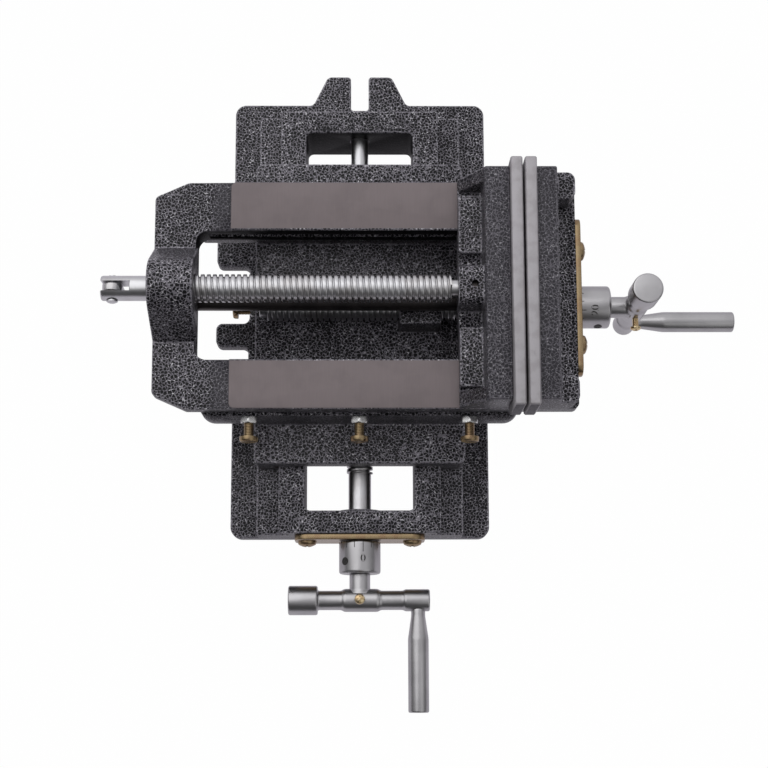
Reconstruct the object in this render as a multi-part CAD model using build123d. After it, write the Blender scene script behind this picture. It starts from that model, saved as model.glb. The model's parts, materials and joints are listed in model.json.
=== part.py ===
from build123d import *
import math
import os

# Cross slide vise of the 5 inch class. Sizes are in millimetres.
# X runs along the travel of the jaws, Y across it and Z up from the underside of the base.
# The origin is the centre of the base's footprint.

# Fits
slide_gap = 0.05
running_gap = 0.05
loose_gap = 0.3
hole_gap = 0.05

# Base casting
base_length = 246.0
base_width = 140.0
flange_thickness = 9.0
waist_inset = 8.5
front_pad_length = 66.0
rear_pad_length = 66.0
pad_slope = 9.0
pad_corner = 6.0
plateau_width = 110.0
plateau_height = 24.0
way_length = 232.3
y_way_width = 86.0
y_way_height = 10.0
dovetail_angle = 60.0
opening_width = 58.0
opening_corner = 3.0
front_wall = 12.0
rear_wall = 12.3
trough_width = 13.0
trough_depth = 14.0
trough_inset = 18.0
trough_wall = 6.0

# Ears of the base
rear_ear_reach = 17.0
rear_ear_root = 52.6
rear_ear_tip = 36.0
rear_slot_width = 10.0
rear_slot_depth = 20.0
side_ear_reach = 9.3
side_ear_front = -17.0
side_ear_rear = 47.0
side_slot_width = 32.5
side_slot_centre = 12.4
side_slot_depth = 18.3
ear_corner = 3.5
rear_slot_corner = 1.75

# Saddle casting
saddle_rest = -6.7
saddle_lower_width = 110.0
saddle_lower_length = 162.4
saddle_floor_top = 46.0
saddle_upper_length = 165.0
saddle_upper_width = 121.0
saddle_top = 69.5
saddle_corner = 8.0
channel_half = 37.0
x_way_level = 62.55
gib_thickness = 3.5
gib_end_margin = 2.5
y_skirt_gap = 0.3

# Vise body casting
body_left = -104.0
body_right = 110.0
body_width = 118.0
side_flange_level = 70.0
x_way_width = 92.0
rail_paint_level = 78.4
rail_level = 80.0
rail_start = -65.5
body_chamfer_x = 17.0
body_chamfer_y = 7.6
body_corner = 3.0
window_left = -83.0
window_right = 78.0
window_width = 67.0
window_corner = 6.0
window_right_corner = 2.0
keeper_groove_depth = 3.6
end_wall_left = 98.0
end_wall_width = 72.0
end_wall_bottom = 41.0
end_wall_corner = 8.0
boss_right = -81.5
boss_radius = 15.5
boss_foot_width = 49.0
fixed_jaw_depth = 10.4
fixed_jaw_slope = 2.7
jaw_casting_level = 104.0
lug_top = 95.0
lug_width = 14.0
lug_setback = 1.5
lug_corner = 4.0

# Jaw plates
plate_length = 125.0
plate_thickness = 6.0
plate_top = 108.5
plate_lift = 0.3
plate_chamfer = 0.7
jaw_gap = 1.1
fixed_plate_face = 81.9
plate_screw_spacing = 76.0
plate_screw_level = 94.0
plate_screw_radius = 3.0
plate_screw_head = 5.8
plate_screw_length = 15.0

# Movable jaw
jaw_back_depth = 12.8
jaw_step_depth = 12.0
jaw_base_level = 84.0
jaw_step_level = 88.0
jaw_step_inner = 19.0
jaw_step_outer = 49.4
jaw_web_thickness = 7.0
jaw_boss_half = 10.0
jaw_boss_level = 100.0
jaw_boss_reach = 0.8
jaw_edge_radius = 1.6
jaw_step_corner = 2.0
jaw_boss_corner = 4.0
tongue_gap = 0.25
guide_boss_half = 10.0
guide_boss_floor = 0.7
guide_boss_corner = 3.0
journal_bore_depth = 16.8
keeper_thickness = 5.0
keeper_level = 66.5
keeper_reach = 3.3
keeper_length = 19.0
keeper_screw_radius = 2.5
keeper_screw_head = 4.8
keeper_screw_inner = 17.5
keeper_screw_outer = 29.0
keeper_screw_length = 12.0

# Main screw, its pin, link and the guide rod
main_screw_rise = 10.0
thread_radius = 7.0
shank_radius = 6.25
main_screw_left = -128.0
main_thread_right = 46.0
neck_radius = 4.5
neck_length = 19.7
retaining_hole_x = 57.4
retaining_pin_radius = 1.7
retaining_pin_depth = 4.5
groove_radius = 3.0
clevis_slot_width = 5.0
clevis_slot_depth = 14.5
clevis_pin_x = -122.6
clevis_pin_radius = 2.0
clevis_head_radius = 2.8
clevis_head_height = 1.5
link_thickness = 3.7
link_eye_radius = 5.0
link_length = 11.0
link_end_radius = 4.6
link_hole_radius = 2.5
guide_rod_radius = 6.0
guide_rod_level = 70.0
guide_rod_recess = 1.0
guide_rod_seat = 16.0

# Lead screws, both alike from the bearing plate outwards
y_screw_level = 20.0
x_screw_clearance = 0.5
journal_radius = 6.0
collar_radius = 9.0
collar_length = 4.0
entry_radius = 7.3
y_smooth_length = 28.85
y_tail_radius = 4.7
y_tail_length = 15.0
y_tail_clearance = 4.0
x_smooth_length = 20.0
x_screw_left = -52.0
x_tail_radius = 5.5
x_tail_length = 4.0
bearing_plate_width = 69.0
bearing_plate_height = 24.0
bearing_plate_thickness = 3.0
bearing_plate_corner = 7.0
bearing_screw_spacing = 56.0
x_plate_width = 82.0
x_plate_above_screw = 25.0
x_plate_head_height = 9.0
x_plate_waist = 68.0
x_plate_shoulder_drop = 4.0
x_plate_foot = 56.0
x_plate_below_screw = 11.5
x_plate_corner = 5.0
x_plate_shoulder_corner = 3.0
x_plate_screw_spacing = 49.2
x_plate_screw_rise = 18.5
bearing_screw_radius = 2.5
bearing_screw_length = 10.0
bearing_head_radius = 5.0
bearing_head_height = 3.0
head_dome_share = 0.6
front_boss_radius = 12.0
front_boss_length = 7.0

# Nuts
y_nut_width = 37.0
y_nut_length = 24.0
y_nut_floor = 4.45
y_nut_screw_offset = 13.0
y_nut_screw_radius = 2.5
y_nut_head_radius = 4.25
y_nut_head_height = 5.0
y_nut_thread_depth = 8.0
y_nut_chamfer = 4.0
x_nut_left = 20.8
x_nut_right = 42.3
x_nut_width = 21.6
x_nut_cover = 1.45
x_nut_pocket = 6.0
x_nut_screw_spacing = 12.0
x_nut_screw_radius = 2.0
x_nut_head_radius = 3.8
x_nut_thread_depth = 5.0
x_nut_corner = 1.5

# Gib screws and locknuts
gib_screw_radius = 2.5
gib_screw_reach = 13.4
gib_head_radius = 4.7
gib_head_height = 3.0
gib_point_radius = 1.6
gib_point_length = 1.8
gib_screw_spacing = 56.0
y_gib_screw_spacing = 50.0
y_gib_screw_shift = 5.0
x_gib_screw_level = 66.0
y_gib_screw_level = 29.5
locknut_width = 8.0
locknut_sides = 6
locknut_height = 3.6
locknut_bevel = 0.6
locknut_bevel_width = 0.5
locknut_bevel_reach = 0.1

# Dial, crank arm and grip
dial_radius = 11.0
dial_length = 17.1
dial_chamfer = 1.6
dial_hole_station = 11.2
y_dial_hole_turn = 135.0
x_dial_hole_turn = -100.0
dial_screw_radius = 2.1
dial_screw_recess = 1.3
arm_station = 31.3
arm_neck_radius = 5.5
arm_rod_radius = 5.1
arm_hub_radius = 6.1
arm_hub_left = -8.2
arm_hub_right = 9.5
weight_radius = 7.75
weight_left = -37.8
weight_right = -22.3
small_end_radius = 5.85
small_end_left = 24.0
small_end_right = 37.0
arm_chamfer = 0.9
arm_shaft_radius = 4.0
arm_shaft_depth = 3.5
arm_screw_radius = 1.6
arm_screw_head_radius = 2.75
arm_screw_head_height = 2.0
arm_screw_bury = 0.9
arm_screw_stand = 4.5
grip_offset = 30.8
grip_neck_radius = 3.7
grip_radius = 5.45
grip_seat_bury = 0.7
grip_taper_length = 12.0
grip_neck_length = 3.2
grip_reach = 58.7
grip_chamfer = 0.9
grip_stud_radius = 3.0
grip_stud_length = 6.0

# Sizes worked out from the ones above
x_screw_level = saddle_floor_top + thread_radius + x_screw_clearance
main_screw_level = rail_level + main_screw_rise
half_length = base_length / 2
half_width = base_width / 2
waist_half = half_width - waist_inset
front_face = -half_length
way_end = front_face + way_length
way_top = plateau_height + y_way_height
cot = 1 / math.tan(math.radians(dovetail_angle))
slant = 1 / math.sin(math.radians(dovetail_angle))
opening_front = front_face + front_wall
opening_rear = way_end - rear_wall
saddle_ceiling = way_top + slide_gap
body_half = body_width / 2
x_way_depth = side_flange_level - x_way_level - slide_gap
x_way_bottom = side_flange_level - x_way_depth
window_half = window_width / 2
fixed_jaw_face = fixed_plate_face + plate_thickness
movable_plate_face = fixed_plate_face - jaw_gap
jaw_front = movable_plate_face - plate_thickness
jaw_step_front = jaw_front - jaw_back_depth
jaw_rear = jaw_step_front - jaw_step_depth
jaw_floor = rail_level + slide_gap
guide_boss_level = guide_rod_level - guide_rod_radius - guide_boss_floor
plate_bottom = rail_level + plate_lift
tongue_half = window_half - tongue_gap
tongue_bottom = keeper_level + keeper_thickness
main_thread_left = body_left
plate_half = plate_length / 2
thread_bore = thread_radius + running_gap
x_nut_top = x_screw_level + thread_bore + x_nut_cover
y_nut_bottom = y_screw_level - thread_bore - y_nut_floor
x_screw_face = body_right + bearing_plate_thickness
y_screw_face = front_face - bearing_plate_thickness
saddle_front = saddle_rest - saddle_upper_width / 2
gib_allowance = gib_thickness + 2 * slide_gap


def block(x_limits, y_limits, z_limits):
    """A box between its limits along each axis."""
    sizes = [high - low for low, high in (x_limits, y_limits, z_limits)]
    middle = [(high + low) / 2 for low, high in (x_limits, y_limits, z_limits)]
    return Pos(*middle) * Box(*sizes)


def bar_x(y, z, radius, start, end):
    """A cylinder along X."""
    return Pos((start + end) / 2, y, z) * Rot(0, 90, 0) * Cylinder(radius, abs(end - start))


def bar_y(x, z, radius, start, end):
    """A cylinder along Y."""
    return Pos(x, (start + end) / 2, z) * Rot(90, 0, 0) * Cylinder(radius, abs(end - start))


def bar_z(x, y, radius, start, end):
    """A cylinder along Z."""
    return Pos(x, y, (start + end) / 2) * Cylinder(radius, abs(end - start))


def face_of(points, radii=0):
    """A flat face inside a closed outline, with its corners rounded."""
    if radii == 0:
        return make_face(Polyline(*points, close=True))
    return make_face(FilletPolyline(*points, radius=radii, close=True))


def along_x(points, start, end, radii=0):
    """An outline of (y, z) points carried along X."""
    plane = Plane(origin=(start, 0, 0), x_dir=(0, 1, 0), z_dir=(1, 0, 0))
    return extrude(plane * face_of(points, radii), end - start)


def along_y(points, start, end, radii=0):
    """An outline of (x, z) points carried along Y."""
    plane = Plane(origin=(0, start, 0), x_dir=(0, 0, 1), z_dir=(0, 1, 0))
    return extrude(plane * face_of([(z, x) for x, z in points], radii), end - start)


def along_z(points, start, end, radii=0):
    """An outline of (x, y) points carried up Z."""
    return extrude(Plane.XY.offset(start) * face_of(points, radii), end - start)


def turned(profile):
    """A solid of revolution about Z from (radius, height) points that start and end on the axis."""
    return revolve(Plane.XZ * face_of(profile), Axis.Z)


def stepped(stations):
    """A turned bar from (start, end, radius) steps in order along Z."""
    points = [(0, stations[0][0])]
    for start, end, radius in stations:
        points += [(radius, start), (radius, end)]
    return turned(points + [(0, stations[-1][1])])


def both_sides(part):
    """A part and its mirror image across the vise's middle plane."""
    middle = Plane.XZ.offset(-saddle_rest)
    return [part, mirror(part, about=middle)]


def joined(parts):
    """All parts of a list as one."""
    whole = parts[0]
    for part in parts[1:]:
        whole = whole + part
    return whole


def group(solids):
    """Separate solids kept in one node."""
    return Compound(children=list(solids))


def countersunk(radius, head_radius, length):
    """A countersunk screw along Z, with its head's flat at the origin and its shank below."""
    depth = head_radius - radius
    profile = [(0, 0), (head_radius, 0), (radius, -depth), (radius, -length), (0, -length)]
    return turned(profile)


def countersunk_hole(radius, head_radius, length):
    """The hole that a countersunk screw fills, wider by the hole's gap."""
    return countersunk(radius + hole_gap, head_radius + hole_gap, length + loose_gap)


def pan_head(radius, height):
    """A domed screw head that stands on the origin."""
    dome = height * head_dome_share
    rim = height - dome
    sphere = (radius ** 2 + dome ** 2) / (2 * dome)
    middle = (radius / 2, height - sphere + math.sqrt(sphere ** 2 - radius ** 2 / 4))
    profile = Plane.XZ * make_face([
        Line((0, 0), (radius, 0)),
        Line((radius, 0), (radius, rim)),
        ThreePointArc((radius, rim), middle, (0, height)),
        Line((0, height), (0, 0)),
    ])
    return revolve(profile, Axis.Z)


def flank(way_half, level, height):
    """Half width of a male dovetail at a height, for a way whose widest half width is at a level."""
    return way_half - abs(level - height) * cot


def y_flank(height):
    """Half width of the base's dovetail at a height."""
    return flank(y_way_width / 2, way_top, height)


def x_flank(height):
    """Half width of the vise body's dovetail at a height, widest at its bottom."""
    return x_way_width / 2 + (side_flange_level - height) * cot


def flange_outline():
    """Right half of the flange's outline from front to rear, with its corner radii."""
    slot_low = side_slot_centre - side_slot_width / 2
    slot_high = side_slot_centre + side_slot_width / 2
    ear = half_width + side_ear_reach
    bottom = ear - side_slot_depth
    tip = half_length + rear_ear_reach
    return [
        (half_width, -half_length, pad_corner),
        (half_width, -half_length + front_pad_length, pad_corner),
        (waist_half, -half_length + front_pad_length + pad_slope, pad_corner),
        (waist_half, side_ear_front, ear_corner),
        (ear, side_ear_front, ear_corner),
        (ear, slot_low, ear_corner),
        (bottom, slot_low, ear_corner),
        (bottom, slot_high, ear_corner),
        (ear, slot_high, ear_corner),
        (ear, side_ear_rear, ear_corner),
        (half_width, half_length - rear_pad_length, pad_corner),
        (half_width, half_length, pad_corner),
        (rear_ear_root / 2, half_length, ear_corner),
        (rear_ear_tip / 2, tip, ear_corner),
        (rear_slot_width / 2, tip, rear_slot_corner),
        (rear_slot_width / 2, tip - rear_slot_depth, rear_slot_corner),
    ]


def make_flange():
    """The base's flange with its three slotted ears."""
    right = flange_outline()
    left = [(-x, y, radius) for x, y, radius in reversed(right)]
    outline = right + left
    return along_z([(x, y) for x, y, _ in outline], 0, flange_thickness, [r for _, _, r in outline])


def y_way_outline():
    """Section of the plateau and the male dovetail, as (x, z) points."""
    root = y_flank(plateau_height)
    crest = y_way_width / 2
    side = plateau_width / 2
    right = [(side, 0), (side, plateau_height), (root, plateau_height), (crest, way_top)]
    return right + [(-x, z) for x, z in reversed(right)]


def bearing_bores(place, wall, screws):
    """What a wall needs for a lead screw: collar seat, entry hole and tapped holes at (x, y) places."""
    seat = bar_z(0, 0, collar_radius + loose_gap, -bearing_plate_thickness - collar_length - loose_gap,
                 -bearing_plate_thickness)
    entry = bar_z(0, 0, entry_radius, -bearing_plate_thickness - wall, -bearing_plate_thickness)
    bottom = -bearing_plate_thickness - bearing_screw_length
    holes = [bar_z(x, y, bearing_screw_radius + hole_gap, bottom, -bearing_plate_thickness)
             for x, y in screws]
    return place * joined([seat, entry] + holes)


def screw_place_y():
    """Where the Y screw leaves the bearing plate: local Z points out, local X to the crank's grip."""
    return Plane(origin=(0, y_screw_face, y_screw_level), x_dir=(1, 0, 0), z_dir=(0, -1, 0))


def screw_place_x():
    """Where the X screw leaves the bearing plate: local Z points out, local X to the crank's grip."""
    origin = (x_screw_face, saddle_rest, x_screw_level)
    return Plane(origin=origin, x_dir=(0, 0, -1), z_dir=(1, 0, 0))


def y_plate_screws():
    """Places of the Y bearing plate's screws in the screw's own plane."""
    return [(side * bearing_screw_spacing / 2, 0) for side in (-1, 1)]


def x_plate_screws():
    """Places of the X bearing plate's screws in the screw's own plane, whose local X points down."""
    return [(-x_plate_screw_rise, side * x_plate_screw_spacing / 2) for side in (-1, 1)]


def y_plate_outline():
    """Rounded rectangle of the Y bearing plate, with its corner radii."""
    half = bearing_plate_width / 2
    tall = bearing_plate_height / 2
    points = [(-half, -tall), (half, -tall), (half, tall), (-half, tall)]
    return points, [bearing_plate_corner] * len(points)


def x_plate_outline():
    """Shield shape of the X bearing plate: wide under the rails and narrow inside the saddle's channel."""
    shoulder = x_plate_head_height - x_plate_above_screw
    right = [
        (-x_plate_above_screw, x_plate_width / 2, x_plate_corner),
        (shoulder, x_plate_width / 2, x_plate_shoulder_corner),
        (shoulder + x_plate_shoulder_drop, x_plate_waist / 2, x_plate_shoulder_corner),
        (x_plate_below_screw, x_plate_foot / 2, x_plate_corner),
    ]
    outline = right + [(x, -y, radius) for x, y, radius in reversed(right)]
    return [(x, y) for x, y, _ in outline], [radius for _, _, radius in outline]


def make_base():
    """Base casting: flange, plateau, dovetail way, opening, walls, bores and the troughs below."""
    half = opening_width / 2
    body = make_flange() + along_y(y_way_outline(), front_face, way_end)
    corners = [(half, opening_front), (half, opening_rear), (-half, opening_rear), (-half, opening_front)]
    body = body - along_z(corners, 0, way_top, opening_corner)
    trough_outer = plateau_width / 2 - trough_wall
    trough = block((trough_outer - trough_width, trough_outer),
                   (front_face + trough_inset, way_end - trough_inset), (0, trough_depth))
    body = body - trough - mirror(trough, about=Plane.YZ)
    boss_end = opening_front + front_boss_length
    body = body + bar_y(0, y_screw_level, front_boss_radius, opening_front, boss_end)
    body = body - bearing_bores(screw_place_y(), boss_end - front_face, y_plate_screws())
    tail_end = opening_rear + y_tail_length - y_tail_clearance
    return body - bar_y(0, y_screw_level, y_tail_radius + running_gap, opening_rear, tail_end)


def make_bearing_plate(place, outline, screws):
    """Plate with a bore for the screw and holes for its fasteners."""
    points, radii = outline
    plate = along_z(points, -bearing_plate_thickness, 0, radii)
    plate = plate - bar_z(0, 0, journal_radius + running_gap, -bearing_plate_thickness, 0)
    for x, y in screws:
        plate = plate - bar_z(x, y, bearing_screw_radius + hole_gap, -bearing_plate_thickness, 0)
    return place * plate


def make_bearing_screws(place, screws):
    """Pan-head screws of a bearing plate."""
    bottom = -bearing_plate_thickness - bearing_screw_length + loose_gap
    screw = bar_z(0, 0, bearing_screw_radius, bottom, 0) + pan_head(bearing_head_radius, bearing_head_height)
    return group([place * (Pos(x, y, 0) * screw) for x, y in screws])


def outer_screw_steps():
    """Steps of a lead screw from its collar outwards, along local Z."""
    collar_end = -bearing_plate_thickness - loose_gap / 2
    return [
        (collar_end - collar_length, collar_end, collar_radius),
        (collar_end, loose_gap + dial_length, journal_radius),
        (loose_gap + dial_length, arm_station + arm_shaft_depth, arm_shaft_radius),
    ]


def make_lead_screw(place, smooth_length, tail_length, tail_radius, tip):
    """Lead screw with a plain stand-in for its thread, down to its tip at a depth below the plate."""
    outer = outer_screw_steps()
    collar_start = outer[0][0]
    thread_end = -tip + tail_length
    inner = [
        (-tip, thread_end, tail_radius),
        (thread_end, collar_start - smooth_length, thread_radius),
        (collar_start - smooth_length, collar_start, journal_radius),
    ]
    return place * stepped(inner + outer)


def make_dial(place, hole_turn):
    """Dial ring with a bevelled outer rim and one radial hole for its set screw."""
    outer = loose_gap + dial_length
    bore = journal_radius + running_gap
    profile = [(bore, loose_gap), (dial_radius, loose_gap), (dial_radius, outer - dial_chamfer),
               (dial_radius - dial_chamfer, outer), (bore, outer)]
    hole = bar_x(0, dial_hole_station, dial_screw_radius + hole_gap, 0, dial_radius)
    return place * (turned(profile) - Rot(0, 0, hole_turn) * hole)


def make_dial_screw(place, hole_turn):
    """Grub screw that locks a dial to its shaft."""
    inner = journal_radius + running_gap
    screw = bar_x(0, dial_hole_station, dial_screw_radius, inner, dial_radius - dial_screw_recess)
    return place * (Rot(0, 0, hole_turn) * screw)


def arm_bar():
    """The turned bar of a crank: balance weight, rod, hub, rod and small end, along local X."""
    weight = [(0, weight_left), (weight_radius - arm_chamfer, weight_left),
              (weight_radius, weight_left + arm_chamfer), (weight_radius, weight_right - arm_chamfer),
              (weight_radius - arm_chamfer, weight_right), (arm_rod_radius, weight_right)]
    hub = [(arm_rod_radius, arm_hub_left - arm_chamfer), (arm_hub_radius, arm_hub_left),
           (arm_hub_radius, arm_hub_right), (arm_rod_radius, arm_hub_right + arm_chamfer)]
    small = [(arm_rod_radius, small_end_left - arm_chamfer), (small_end_radius, small_end_left),
             (small_end_radius, small_end_right - arm_chamfer),
             (small_end_radius - arm_chamfer, small_end_right), (0, small_end_right)]
    return Pos(0, 0, arm_station) * Rot(0, 90, 0) * turned(weight + hub + small)


def grip_seat():
    """Height of the flat on the small end where the grip stands."""
    return arm_station + small_end_radius - grip_seat_bury


def make_crank_arm(place, screw_side):
    """Crank arm with its neck, shaft bore, set-screw hole and the seat of the grip."""
    neck = bar_z(0, 0, arm_neck_radius, loose_gap + dial_length, arm_station)
    arm = arm_bar() + neck
    shaft_end = arm_station + arm_shaft_depth + hole_gap
    arm = arm - bar_z(0, 0, arm_shaft_radius + hole_gap, loose_gap + dial_length, shaft_end)
    reach = screw_side * arm_hub_radius
    arm = arm - bar_y(0, arm_station, arm_screw_radius + hole_gap, 0, reach)
    flat = screw_side * (arm_hub_radius - arm_screw_bury)
    arm = arm - bar_y(0, arm_station, arm_screw_head_radius + hole_gap, flat, reach)
    seat = grip_seat()
    arm = arm - bar_z(grip_offset, 0, grip_neck_radius + hole_gap, seat, arm_station + small_end_radius)
    arm = arm - bar_z(grip_offset, 0, grip_stud_radius + hole_gap, seat - grip_stud_length - hole_gap, seat)
    return place * arm


def make_crank_grip(place):
    """Tapered steel grip with a stud into the arm's small end."""
    seat = grip_seat()
    taper = seat + grip_neck_length
    end = arm_station + grip_reach
    profile = [(0, seat - grip_stud_length), (grip_stud_radius, seat - grip_stud_length),
               (grip_stud_radius, seat), (grip_neck_radius, seat), (grip_neck_radius, taper),
               (grip_radius, taper + grip_taper_length), (grip_radius, end - grip_chamfer),
               (grip_radius - grip_chamfer, end), (0, end)]
    return place * (Pos(grip_offset, 0, 0) * turned(profile))


def make_crank_set_screw(place, screw_side):
    """Brass screw that locks the crank arm to the shaft, with its head on the hub."""
    inner = arm_shaft_radius + hole_gap
    under_head = arm_hub_radius + arm_screw_stand
    shank = bar_z(0, 0, arm_screw_radius, inner, under_head)
    head = Pos(0, 0, under_head) * pan_head(arm_screw_head_radius, arm_screw_head_height)
    turn = Rot(-90 * screw_side, 0, 0)
    return place * (Pos(0, 0, arm_station) * turn * (shank + head))


def saddle_lower():
    """Lower part of the saddle with its skirts and the female dovetail along Y."""
    side = saddle_lower_width / 2
    start = saddle_rest - saddle_lower_length / 2
    end = saddle_rest + saddle_lower_length / 2
    bottom = plateau_height + y_skirt_gap
    slab = block((-side, side), (start, end), (bottom, saddle_floor_top))
    slab = fillet(slab.edges().filter_by(Axis.Z), ear_corner)
    right = slide_gap * slant
    left = gib_allowance * slant
    low = y_flank(bottom)
    high = y_flank(saddle_ceiling)
    points = [(low + right, bottom), (high + right, saddle_ceiling),
              (-high - left, saddle_ceiling), (-low - left, bottom)]
    return slab - along_y(points, start, end)


def saddle_upper():
    """Upper part of the saddle: two long walls with the female dovetail along X between them."""
    half = saddle_upper_length / 2
    wide = saddle_upper_width / 2
    corners = [(-half, -wide), (half, -wide), (half, wide), (-half, wide)]
    slab = along_z([(x, y + saddle_rest) for x, y in corners], saddle_floor_top, saddle_top, saddle_corner)
    rear = slide_gap * slant
    front = gib_allowance * slant
    top = x_flank(saddle_top)
    bottom = x_flank(x_way_level)
    tail = [(saddle_rest + top + rear, saddle_top), (saddle_rest + bottom + rear, x_way_level),
            (saddle_rest - bottom - front, x_way_level), (saddle_rest - top - front, saddle_top)]
    channel = block((-half, half), (saddle_rest - channel_half, saddle_rest + channel_half),
                    (saddle_floor_top, x_way_level))
    return slab - along_x(tail, -half, half) - channel


def x_gib_screw_places():
    """Where each X gib screw meets the saddle's front face: local Z points out."""
    return [Plane(origin=(x, saddle_front, x_gib_screw_level), x_dir=(1, 0, 0), z_dir=(0, -1, 0))
            for x in (-gib_screw_spacing, 0, gib_screw_spacing)]


def y_gib_screw_places():
    """Where each Y gib screw meets the saddle's left face: local Z points out."""
    shifts = (-y_gib_screw_spacing, 0, y_gib_screw_spacing)
    return [Plane(origin=(-saddle_lower_width / 2, saddle_rest + y_gib_screw_shift + shift,
                          y_gib_screw_level), x_dir=(0, 1, 0), z_dir=(-1, 0, 0)) for shift in shifts]


def gib_wall_x():
    """Thickness of the saddle's wall outside the X gib, at the level of its screws."""
    return saddle_upper_width / 2 - x_flank(x_gib_screw_level) - gib_allowance * slant


def gib_wall_y():
    """Thickness of the saddle's wall outside the Y gib, at the level of its screws."""
    return saddle_lower_width / 2 - y_flank(y_gib_screw_level) - gib_allowance * slant


def gib_holes(places, wall):
    """Threaded holes through a gib wall."""
    hole = bar_z(0, 0, gib_screw_radius + hole_gap, -wall - gib_screw_radius, 0)
    return joined([place * hole for place in places])


def make_saddle():
    """Saddle casting between the two slides."""
    body = saddle_lower() + saddle_upper()
    body = body - gib_holes(x_gib_screw_places(), gib_wall_x())
    body = body - gib_holes(y_gib_screw_places(), gib_wall_y())
    body = body - x_nut_block(hole_gap)
    hole = countersunk_hole(x_nut_screw_radius, x_nut_head_radius, x_nut_screw_length())
    body = body - joined([place * hole for place in x_nut_screw_places()])
    for x in (-y_nut_screw_offset, y_nut_screw_offset):
        hole_top = saddle_ceiling + y_nut_thread_depth + loose_gap
        body = body - bar_z(x, saddle_rest, y_nut_screw_radius + hole_gap, saddle_ceiling, hole_top)
    return body


def x_nut_block(gap):
    """The X nut's block, wider by a gap at its sides where it is cut from the saddle's floor."""
    half = x_nut_width / 2 + gap
    limits = (saddle_rest - half, saddle_rest + half)
    return block((x_nut_left - gap, x_nut_right + gap), limits, (saddle_floor_top - x_nut_pocket, x_nut_top))


def x_nut_screw_places():
    """Where the X nut's screws start on the saddle's ceiling: local Z points down and out."""
    middle = (x_nut_left + x_nut_right) / 2
    return [Plane(origin=(middle + side * x_nut_screw_spacing / 2, saddle_rest, saddle_ceiling),
                  x_dir=(1, 0, 0), z_dir=(0, 0, -1)) for side in (-1, 1)]


def x_nut_screw_length():
    """Length of an X nut screw, from the saddle's ceiling into the nut."""
    return saddle_floor_top - x_nut_pocket - saddle_ceiling + x_nut_thread_depth


def make_x_nut():
    """Nut block on the saddle's floor, bored for the X screw."""
    nut = x_nut_block(0)
    nut = fillet(nut.edges().filter_by(Axis.Z), x_nut_corner)
    nut = nut - bar_x(saddle_rest, x_screw_level, thread_bore, x_nut_left, x_nut_right)
    start = saddle_floor_top - x_nut_pocket
    for place in x_nut_screw_places():
        x = place.origin.X
        hole_end = start + x_nut_thread_depth + hole_gap
        nut = nut - bar_z(x, saddle_rest, x_nut_screw_radius + hole_gap, start, hole_end)
    return nut


def make_x_nut_screws():
    """Two countersunk screws that hold the X nut from below."""
    screw = countersunk(x_nut_screw_radius, x_nut_head_radius, x_nut_screw_length())
    return group([place * screw for place in x_nut_screw_places()])


def make_y_nut():
    """Nut under the saddle, bored for the Y screw and drilled for two cap screws."""
    half = y_nut_length / 2
    wide = y_nut_width / 2
    limits = (saddle_rest - half, saddle_rest + half)
    nut = block((-wide, wide), limits, (y_nut_bottom, saddle_ceiling))
    nut = chamfer(nut.edges().filter_by(Axis.Y).group_by(Axis.Z)[0], y_nut_chamfer)
    nut = nut - bar_y(0, y_screw_level, thread_bore, limits[0], limits[1])
    for x in (-y_nut_screw_offset, y_nut_screw_offset):
        nut = nut - bar_z(x, saddle_rest, y_nut_screw_radius + hole_gap, y_nut_bottom, saddle_ceiling)
        nut = nut - bar_z(x, saddle_rest, y_nut_head_radius + hole_gap, y_nut_bottom,
                          y_nut_bottom + y_nut_head_height)
    return nut


def make_y_nut_screws():
    """Two cap screws that hold the Y nut against the saddle."""
    top = saddle_ceiling + y_nut_thread_depth
    head = y_nut_bottom + y_nut_head_height
    screws = [bar_z(x, saddle_rest, y_nut_screw_radius, head, top)
              + bar_z(x, saddle_rest, y_nut_head_radius, y_nut_bottom + loose_gap, head)
              for x in (-y_nut_screw_offset, y_nut_screw_offset)]
    return group(screws)


def gib_dimples(places, wall):
    """Blind holes in a gib for the points of its screws."""
    depth = -wall - gib_point_length - hole_gap
    point = bar_z(0, 0, gib_point_radius + hole_gap, depth, 0)
    return joined([place * point for place in places])


def make_x_gib():
    """Gib strip between the saddle's front wall and the vise body's dovetail."""
    inner = slide_gap * slant
    outer = (slide_gap + gib_thickness) * slant
    bottom = x_way_level + slide_gap
    top = saddle_top - slide_gap
    y = saddle_rest
    points = [(y - x_flank(bottom) - inner, bottom), (y - x_flank(top) - inner, top),
              (y - x_flank(top) - outer, top), (y - x_flank(bottom) - outer, bottom)]
    half = saddle_upper_length / 2 - gib_end_margin
    return along_x(points, -half, half) - gib_dimples(x_gib_screw_places(), gib_wall_x())


def make_y_gib():
    """Gib strip between the saddle's left wall and the base's dovetail."""
    inner = slide_gap * slant
    outer = (slide_gap + gib_thickness) * slant
    bottom = plateau_height + y_skirt_gap
    top = saddle_ceiling - slide_gap
    points = [(-y_flank(bottom) - inner, bottom), (-y_flank(top) - inner, top),
              (-y_flank(top) - outer, top), (-y_flank(bottom) - outer, bottom)]
    half = saddle_lower_length / 2 - gib_end_margin
    strip = along_y(points, saddle_rest - half, saddle_rest + half)
    return strip - gib_dimples(y_gib_screw_places(), gib_wall_y())


def gib_screw(wall):
    """Pan-head gib screw with a plain point, its thread starting inside the wall."""
    under_head = gib_screw_reach - gib_head_height
    flat = -wall + gib_screw_radius * cot
    point = bar_z(0, 0, gib_point_radius, -wall - gib_point_length, flat)
    shank = bar_z(0, 0, gib_screw_radius, flat, under_head)
    return point + shank + Pos(0, 0, under_head) * pan_head(gib_head_radius, gib_head_height)


def make_gib_screws(places, wall):
    """Three gib screws of one slide."""
    return group([place * gib_screw(wall) for place in places])


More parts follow.
